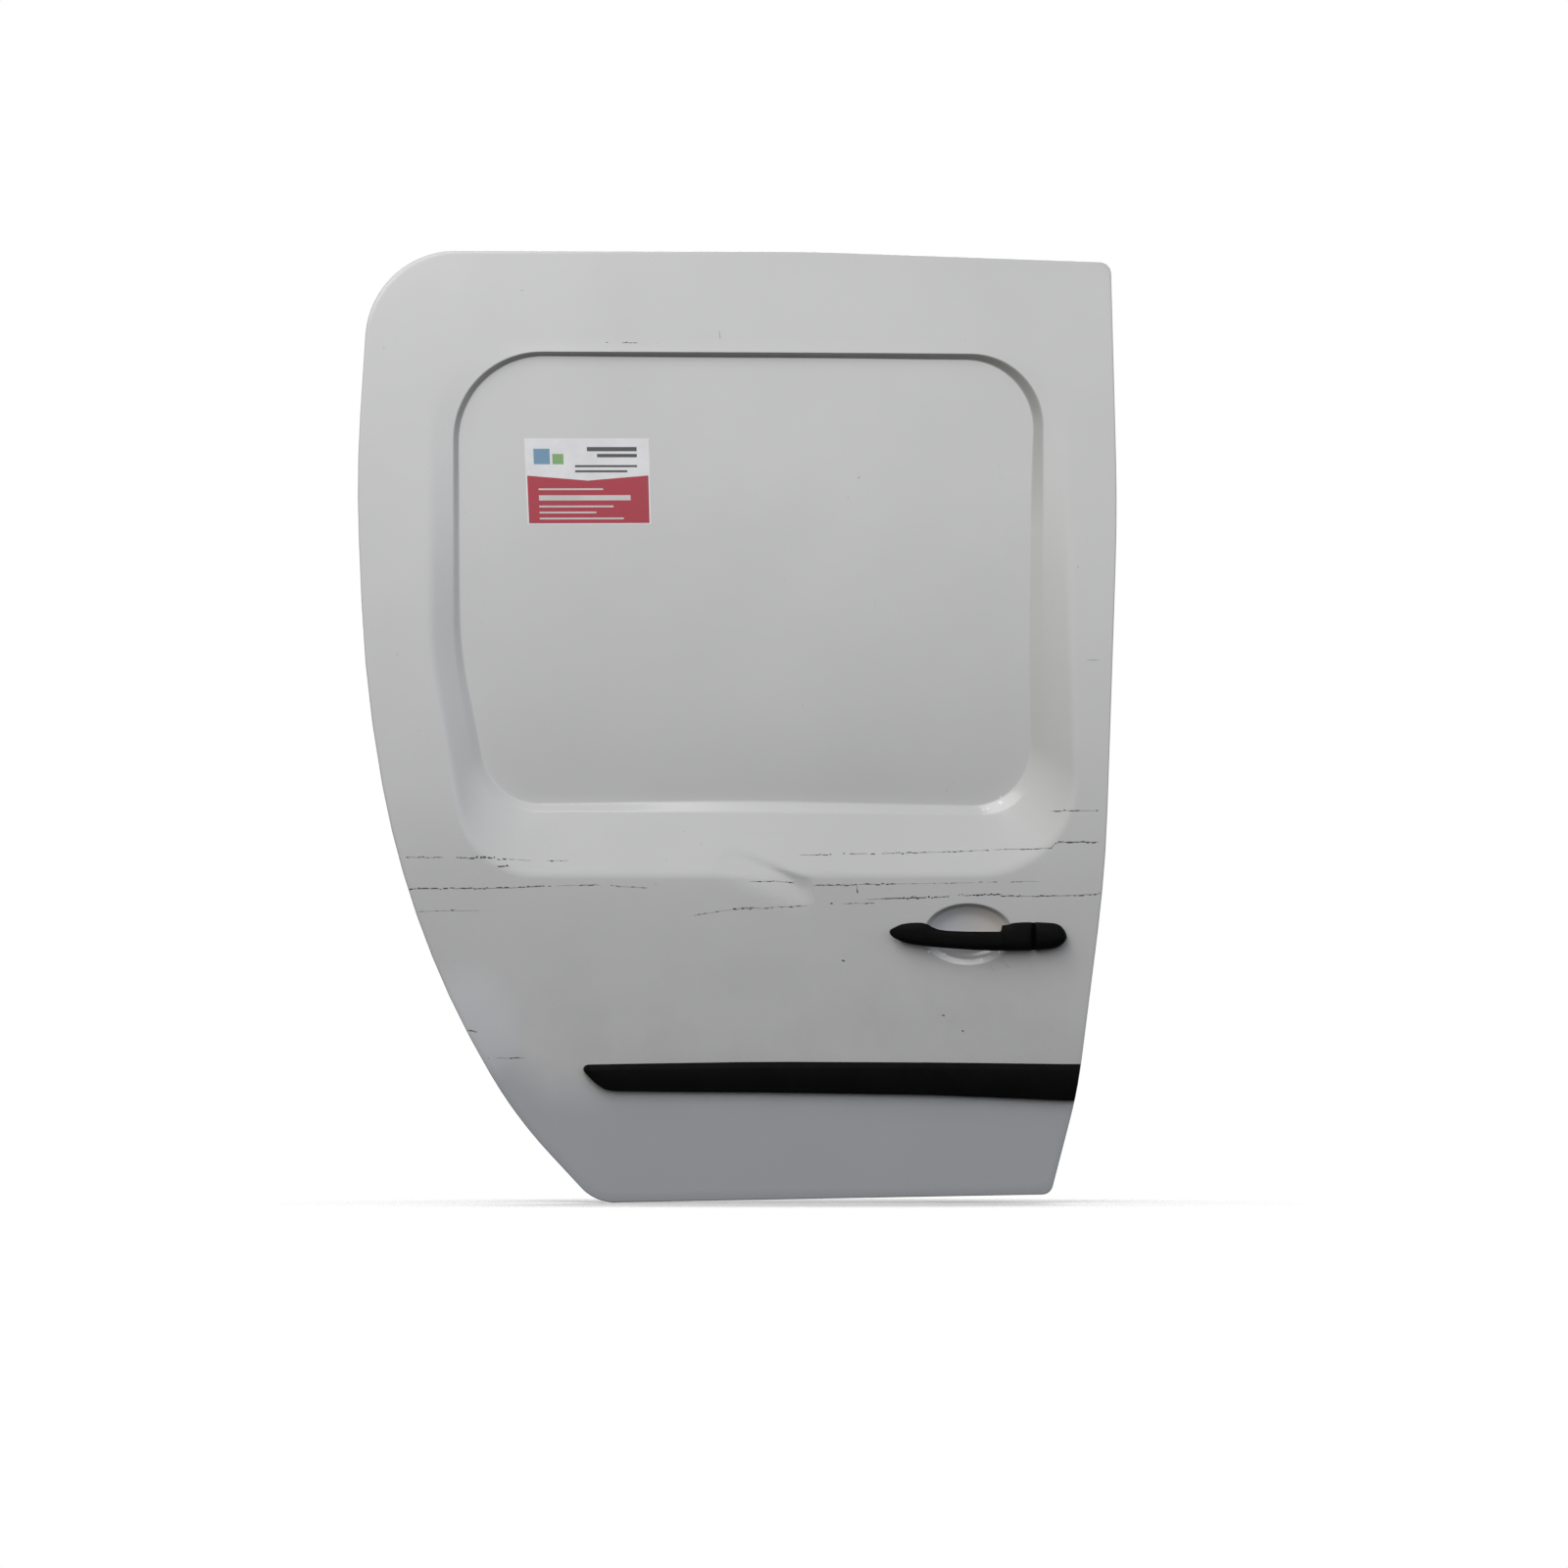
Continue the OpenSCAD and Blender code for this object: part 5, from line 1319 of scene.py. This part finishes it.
# Holes of the inner panel with a plug or a clip, and two round which no weld may lie: X, Z and diameter
PLUG_HOLES = [(145, 1096.5, 20), (480, 1098.5, 16), (420, 475, 30), (825, 545, 22)]
CLIP_HOLES = [(875, 600, 14), (870, 350, 12), (508, 104, 12), (76, 880, 10)]
CLEAR_HOLES = [(420, 475, 30), (560, 475, 14)]

# Spot welds of the inner panel, left out where it isn't flat: X and Z
WELDS = [(x, z) for z in (414, 470) for x in range(190, 620, 54)]
WELDS += [(x, z) for z in (1056, 566) for x in (463, 497)] + [(x, 60) for x in range(330, 660, 66)]

# A depth that lies inboard of the whole leaf
INBOARD = 260.0


class DOORLEAF_OT_fasteners(bpy.types.Operator):
    """Bolts, screws, plugs, clips and weld marks on the inboard side"""

    bl_idname = "doorleaf.fasteners"
    bl_label = "Fasteners"

    def execute(self, context):
        sizes = context.scene.door_leaf
        bolts = bmesh.new()
        for name, size, places in BOLTS:
            for x, z in places:
                turned(bolts, FLANGE_BOLT, *seat(name, *behind(x, z)), size)
        sharpen(piece("flange_bolts", bolts, zinc("Bolt zinc", (0.55, 0.53, 0.44))), 28)
        screws = bmesh.new()
        for z, side in LATCHES:
            middle = skin_y(z) + sizes.latch_line * 1000.0
            for inboard, up in LATCH_SCREWS:
                start = at(450 + side * 600, middle + inboard, z + up)
                turned(screws, STAR_SCREW, *seat("inner_panel", start, Vector((-side, 0.0, 0.0))))
        sharpen(piece("latch_screws", screws, zinc("Screw zinc", (0.42, 0.43, 0.45))), 30)
        plugs = bmesh.new()
        for x, z, d in PLUG_HOLES:
            fitted = [(r * d / 2, up * d / 2, form) for r, up, form in PLUG]
            turned(plugs, fitted, *self.over_hole(x, z, d / 2 + 2.5))
        piece("hole_plugs", plugs, rubber("Plug rubber", (0.05, 0.05, 0.052)))
        clips = bmesh.new()
        for x, z, d in CLIP_HOLES:
            turned(clips, CLIP, *self.over_hole(x, z, d / 2 + 1.5), 1.15)
        piece("trim_clips", clips, clip_nylon())
        welds = bmesh.new()
        for x, z in WELDS:
            found = hit("inner_panel", *behind(x, z))
            face = at(0, skin_y(z) + PANEL_DEPTH + PANEL_T, 0).y
            clear = all(math.hypot(x - px, z - pz) >= d / 2 + 8 for px, pz, d in CLEAR_HOLES)
            if clear and found is not None and abs(found[0].y - face) < 0.004:
                turned(welds, WELD, *found, sides=14)
        piece("weld_marks", welds, inner_paint(sizes))
        return {"FINISHED"}

    def over_hole(self, x, z, off):
        """Place and normal over a hole of the inner panel, at the depth of the sheet just below it."""
        spot, normal = seat("inner_panel", *behind(x, z - off))
        return Vector((at(x, 0, z).x, spot.y, at(x, 0, z).z)), normal


# Damping sheets: low and high corner, the surface they lie on and their turn
DAMPING = {
    "rear": ((205, 690), (425, 950), floor_y, 0.04),
    "front": ((560, 700), (760, 930), floor_y, -0.02),
    "low": ((250, 205), (415, 245), skin_y, 0.0),
}

# Bead of sealer: inset from the outline, height over the skin, longest step and points round it
BEAD_INSET = 12.2
BEAD_RISE = 2.5
BEAD_STEP = 16.0
BEAD_POINTS = 8


class DOORLEAF_OT_sheets(bpy.types.Operator):
    """Damping sheets on the inside of the skin and the bead of sealer along the hem"""

    bl_idname = "doorleaf.sheets"
    bl_label = "Damping sheets and sealer"

    def execute(self, context):
        sizes = context.scene.door_leaf
        coated = inner_paint(sizes)
        for name, shape in DAMPING.items():
            self.sheet("damping_sheet_" + name, *shape, coated)
        self.bead(sizes)
        return {"FINISHED"}

    def sheet(self, name, low, high, depth, turn, material):
        """One damping sheet with pressed ribs, bonded to the skin."""
        bm = bmesh.new()
        bmesh.ops.create_grid(bm, x_segments=40, y_segments=24, size=0.5)
        middle = Vector(((low[0] + high[0]) / 2, (low[1] + high[1]) / 2))
        wide = high[0] - low[0]
        tall = high[1] - low[1]
        made = bmesh.ops.extrude_face_region(bm, geom=list(bm.faces))["geom"]
        outer = {g for g in made if isinstance(g, bmesh.types.BMVert)}
        for vert in bm.verts:
            u, v = vert.co.x, vert.co.y
            x = middle.x + wide * u * math.cos(turn) - tall * v * math.sin(turn)
            z = middle.y + wide * u * math.sin(turn) + tall * v * math.cos(turn)
            y = depth(z) + SKIN_T + FIT
            if vert in outer:
                y += 1.6 + 0.35 * math.cos(40 * math.pi * u)
            vert.co = at(x, y, z)
        bmesh.ops.recalc_face_normals(bm, faces=bm.faces)
        piece(name, bm, material)

    def bead(self, sizes):
        """Bead of sealer over the edge of the hem, a little uneven."""
        chance = random.Random(sizes.scratch_seed + 5)
        outline = rounded(LEAF_CORNERS, 2.0)
        path = []
        for here, after in zip(outline, outline[1:] + outline[:1]):
            steps = max(1, int((after - here).length / BEAD_STEP))
            if (after - here).length > 0.01:
                path += [here.lerp(after, k / steps) for k in range(steps)]
        stations = []
        for i, here in enumerate(path):
            ahead = (path[(i + 1) % len(path)] - path[i - 1]).normalized()
            inward = Vector((-ahead.y, ahead.x))
            if inward.dot(PAN_CENTRE - here) < 0:
                inward = -inward
            spot = here + inward * BEAD_INSET
            radius = 1.5 + 0.5 * chance.random()
            ring = []
            for k in range(BEAD_POINTS):
                t = math.tau * k / BEAD_POINTS
                off = inward * math.cos(t) * radius * 1.5
                y = skin_y(spot.y) + BEAD_RISE + radius * math.sin(t)
                ring.append(at(spot.x + off.x, y, spot.y + off.y))
            stations.append(ring)
        bm = loft(stations + [stations[0]], capped=False)
        bmesh.ops.remove_doubles(bm, verts=bm.verts, dist=0.00001)
        bmesh.ops.recalc_face_normals(bm, faces=bm.faces)
        piece("hem_sealer", bm, hem_sealer())


class DOORLEAF_OT_finishes(bpy.types.Operator):
    """Finishes of the solids that stay as they are"""

    bl_idname = "doorleaf.finishes"
    bl_label = "Finishes of the solids"

    def execute(self, context):
        sizes = context.scene.door_leaf
        inner = ["inner_panel", "waist_beam", "pan_stiffener", "hinge_seat_plate"]
        inner += ["impact_tube", "impact_bracket_rear", "impact_bracket_front"]
        steel = ["handle_pin", "upper_arm", "upper_roller_pin", "lower_arm", "lower_guide_pin"]
        steel += ["lower_load_pin", "front_rod", "rear_rod", "control_plate"]
        trim = grained_plastic("Inner trim", sizes, (0.03, 0.03, 0.032))
        kinds = (
            (inner_paint(sizes), inner),
            (zinc("Zinc plating", (0.5, 0.505, 0.51)), steel),
            (zinc("Yellow zinc", (0.46, 0.4, 0.27)), ["front_latch", "rear_latch"]),
            (rubber(), ["weatherstrip", "bump_stop_upper", "bump_stop_lower"]),
            (nylon(), ["upper_roller", "lower_guide_roller", "lower_load_roller", "guide_wedge"]),
            (mastic_pad(), ["pan_pad_lower", "pan_pad_upper"]),
            (trim, ["handle_foot", "inner_bezel", "inner_handle"]),
        )
        for material, names in kinds:
            for name in names:
                mesh = nodes[name].data
                mesh.materials.clear()
                mesh.materials.append(material)
        return {"FINISHED"}


# Lamps: place from the middle of the view, size, power, colour, and whether glossy faces mirror them
LAMPS = [
    ("Key light", (-1.2, -2.2, 2.9), 2.0, 38.0, (1.0, 0.998, 0.99), True),
    ("Front light", (-0.8, -4.6, 2.3), 3.0, 56.0, (1.0, 1.0, 1.0), False),
    ("Back light", (0.9, 4.4, 2.4), 3.0, 95.0, (1.0, 1.0, 1.0), True),
]

# View: its middle on the leaf, its width in metres at a depth behind the skin, and the sensor's width
VIEW_X = 536
VIEW_Z = 528.6
VIEW_W = 1.976
VIEW_IN = 0.04
SENSOR = 36.0

# Floor: half its size in metres, its gap under the leaf, and the middle and scale of the part that shows
FLOOR_HALF = 30.0
FLOOR_GAP = 0.0005
SPOT_X = 0.4
SPOT_SCALE = 0.9


class DOORLEAF_OT_stage(bpy.types.Operator):
    """Pale floor, soft light and the camera"""

    bl_idname = "doorleaf.stage"
    bl_label = "Stage"

    def execute(self, context):
        sizes = context.scene.door_leaf
        self.floor()
        self.sky(context)
        middle = at(VIEW_X, 0, VIEW_Z)
        for name, shift, size, power, tone, mirrored in LAMPS:
            self.lamp(name, middle + Vector(shift), middle, size, power, tone, mirrored)
        camera = bpy.data.cameras.new("Camera")
        camera.sensor_width = SENSOR
        camera.lens = SENSOR * (sizes.camera_distance + VIEW_IN) / VIEW_W
        camera.clip_end = 200.0
        view = bpy.data.objects.new("Camera", camera)
        view.location = middle + Vector((0.0, -sizes.camera_distance, 0.0))
        view.rotation_euler = (math.radians(90), 0.0, 0.0)
        context.scene.collection.objects.link(view)
        context.scene.camera = view
        context.scene.view_settings.view_transform = "Standard"
        return {"FINISHED"}

    def floor(self):
        """Pale floor under the leaf, open from below and fading out round it."""
        bm = bmesh.new()
        bmesh.ops.create_grid(bm, x_segments=2, y_segments=2, size=FLOOR_HALF)
        bmesh.ops.translate(bm, vec=(SPOT_X, 0.0, cad_bounds[0][2] - FLOOR_GAP), verts=bm.verts)
        mesh = bpy.data.meshes.new("Floor")
        bm.to_mesh(mesh)
        bm.free()
        pale = bpy.data.materials.new("Floor")
        pale.use_nodes = True
        shader = shader_of(pale)
        shader.inputs["Roughness"].default_value = 0.9
        rays = node(pale, "LightPath").outputs
        seen = reckon(pale, "MAXIMUM", rays["Is Camera Ray"], rays["Is Transmission Ray"])
        feed(pale, "Base Color", blended(pale, seen, (0.05, 0.052, 0.055), (0.93, 0.93, 0.93)))
        spot = stretched(pale, (SPOT_SCALE, 1.6, 0.0), (-SPOT_X * SPOT_SCALE, 0.08, 0.0))
        away = node(pale, "VectorMath", {0: spot}, operation="LENGTH").outputs["Value"]
        back = node(pale, "NewGeometry").outputs["Backfacing"]
        open_part = reckon(pale, "MAXIMUM", between(pale, away, 0.3, 0.64, smooth=True), back)
        clear = node(pale, "BsdfTransparent").outputs["BSDF"]
        both = node(pale, "MixShader", {0: open_part, 1: shader.outputs["BSDF"], 2: clear})
        tree = pale.node_tree
        tree.links.new(both.outputs["Shader"], tree.nodes["Material Output"].inputs["Surface"])
        mesh.materials.append(pale)
        ground = bpy.data.objects.new("Floor", mesh)
        bpy.context.scene.collection.objects.link(ground)

    def sky(self, context):
        """Even pale surroundings for the camera, and soft light that comes mostly from above."""
        world = bpy.data.worlds.new("Sky")
        world.use_nodes = True
        context.scene.world = world
        world.node_tree.nodes.clear()
        toward = node(world, "SeparateXYZ", {"Vector": node(world, "TexCoord").outputs["Generated"]}).outputs
        grade = between(world, toward["Z"], -0.07, 0.06, 0.02, 1.06, True)
        high = between(world, toward["Z"], 0.35, 0.65, 1.0, 0.5, True)
        sides = between(world, reckon(world, "ABSOLUTE", toward["X"], 0.0), 0.2, 0.9, 1.12, 0.45, True)
        tint = blended(world, between(world, toward["X"], -0.7, 0.7), (1.0, 0.975, 0.88), (0.94, 0.975, 1.07))
        light = node(world, "Background", {"Color": tint, "Strength": times(world, grade, high, sides)})
        white = node(world, "Background", {"Color": (1.0, 1.0, 1.0, 1.0), "Strength": 1.0})
        seen = node(world, "LightPath").outputs["Is Camera Ray"]
        ends = {0: seen, 1: light.outputs["Background"], 2: white.outputs["Background"]}
        node(world, "OutputWorld", {"Surface": node(world, "MixShader", ends).outputs["Shader"]})

    def lamp(self, name, where, aim, size, power, tone, mirrored):
        """One square soft lamp that looks at the leaf."""
        light = bpy.data.lights.new(name, "AREA")
        light.shape = "SQUARE"
        light.size = size
        light.energy = power
        light.color = tone
        lamp = bpy.data.objects.new(name, light)
        lamp.location = where
        lamp.visible_glossy = mirrored
        lamp.rotation_euler = (aim - where).to_track_quat("-Z", "Y").to_euler()
        bpy.context.scene.collection.objects.link(lamp)


class DOORLEAF_PT_leaf(bpy.types.Panel):
    """Lists the steps that dress the leaf"""

    bl_idname = "DOORLEAF_PT_leaf"
    bl_label = "Door leaf"
    bl_space_type = "VIEW_3D"
    bl_region_type = "UI"
    bl_category = "Door leaf"

    def draw(self, context):
        sizes = context.scene.door_leaf
        for name in sizes.bl_rna.properties.keys():
            if name not in ("rna_type", "name"):
                self.layout.prop(sizes, name)
        for step in STEPS:
            self.layout.operator(step.bl_idname)


STEPS = (
    DOORLEAF_OT_skin,
    DOORLEAF_OT_handle,
    DOORLEAF_OT_moulding,
    DOORLEAF_OT_scratches,
    DOORLEAF_OT_sticker,
    DOORLEAF_OT_fasteners,
    DOORLEAF_OT_sheets,
    DOORLEAF_OT_finishes,
    DOORLEAF_OT_stage,
)
CLASSES = (LeafSizes, *STEPS, DOORLEAF_PT_leaf)


def register():
    for kind in CLASSES:
        bpy.utils.register_class(kind)
    bpy.types.Scene.door_leaf = PointerProperty(type=LeafSizes)


def unregister():
    del bpy.types.Scene.door_leaf
    for kind in reversed(CLASSES):
        bpy.utils.unregister_class(kind)


def main():
    register()
    for step in STEPS:
        group, name = step.bl_idname.split(".")
        if getattr(getattr(bpy.ops, group), name)() != {"FINISHED"}:
            raise RuntimeError("the step " + name + " did not finish")


if __name__ == "__main__":
    main()
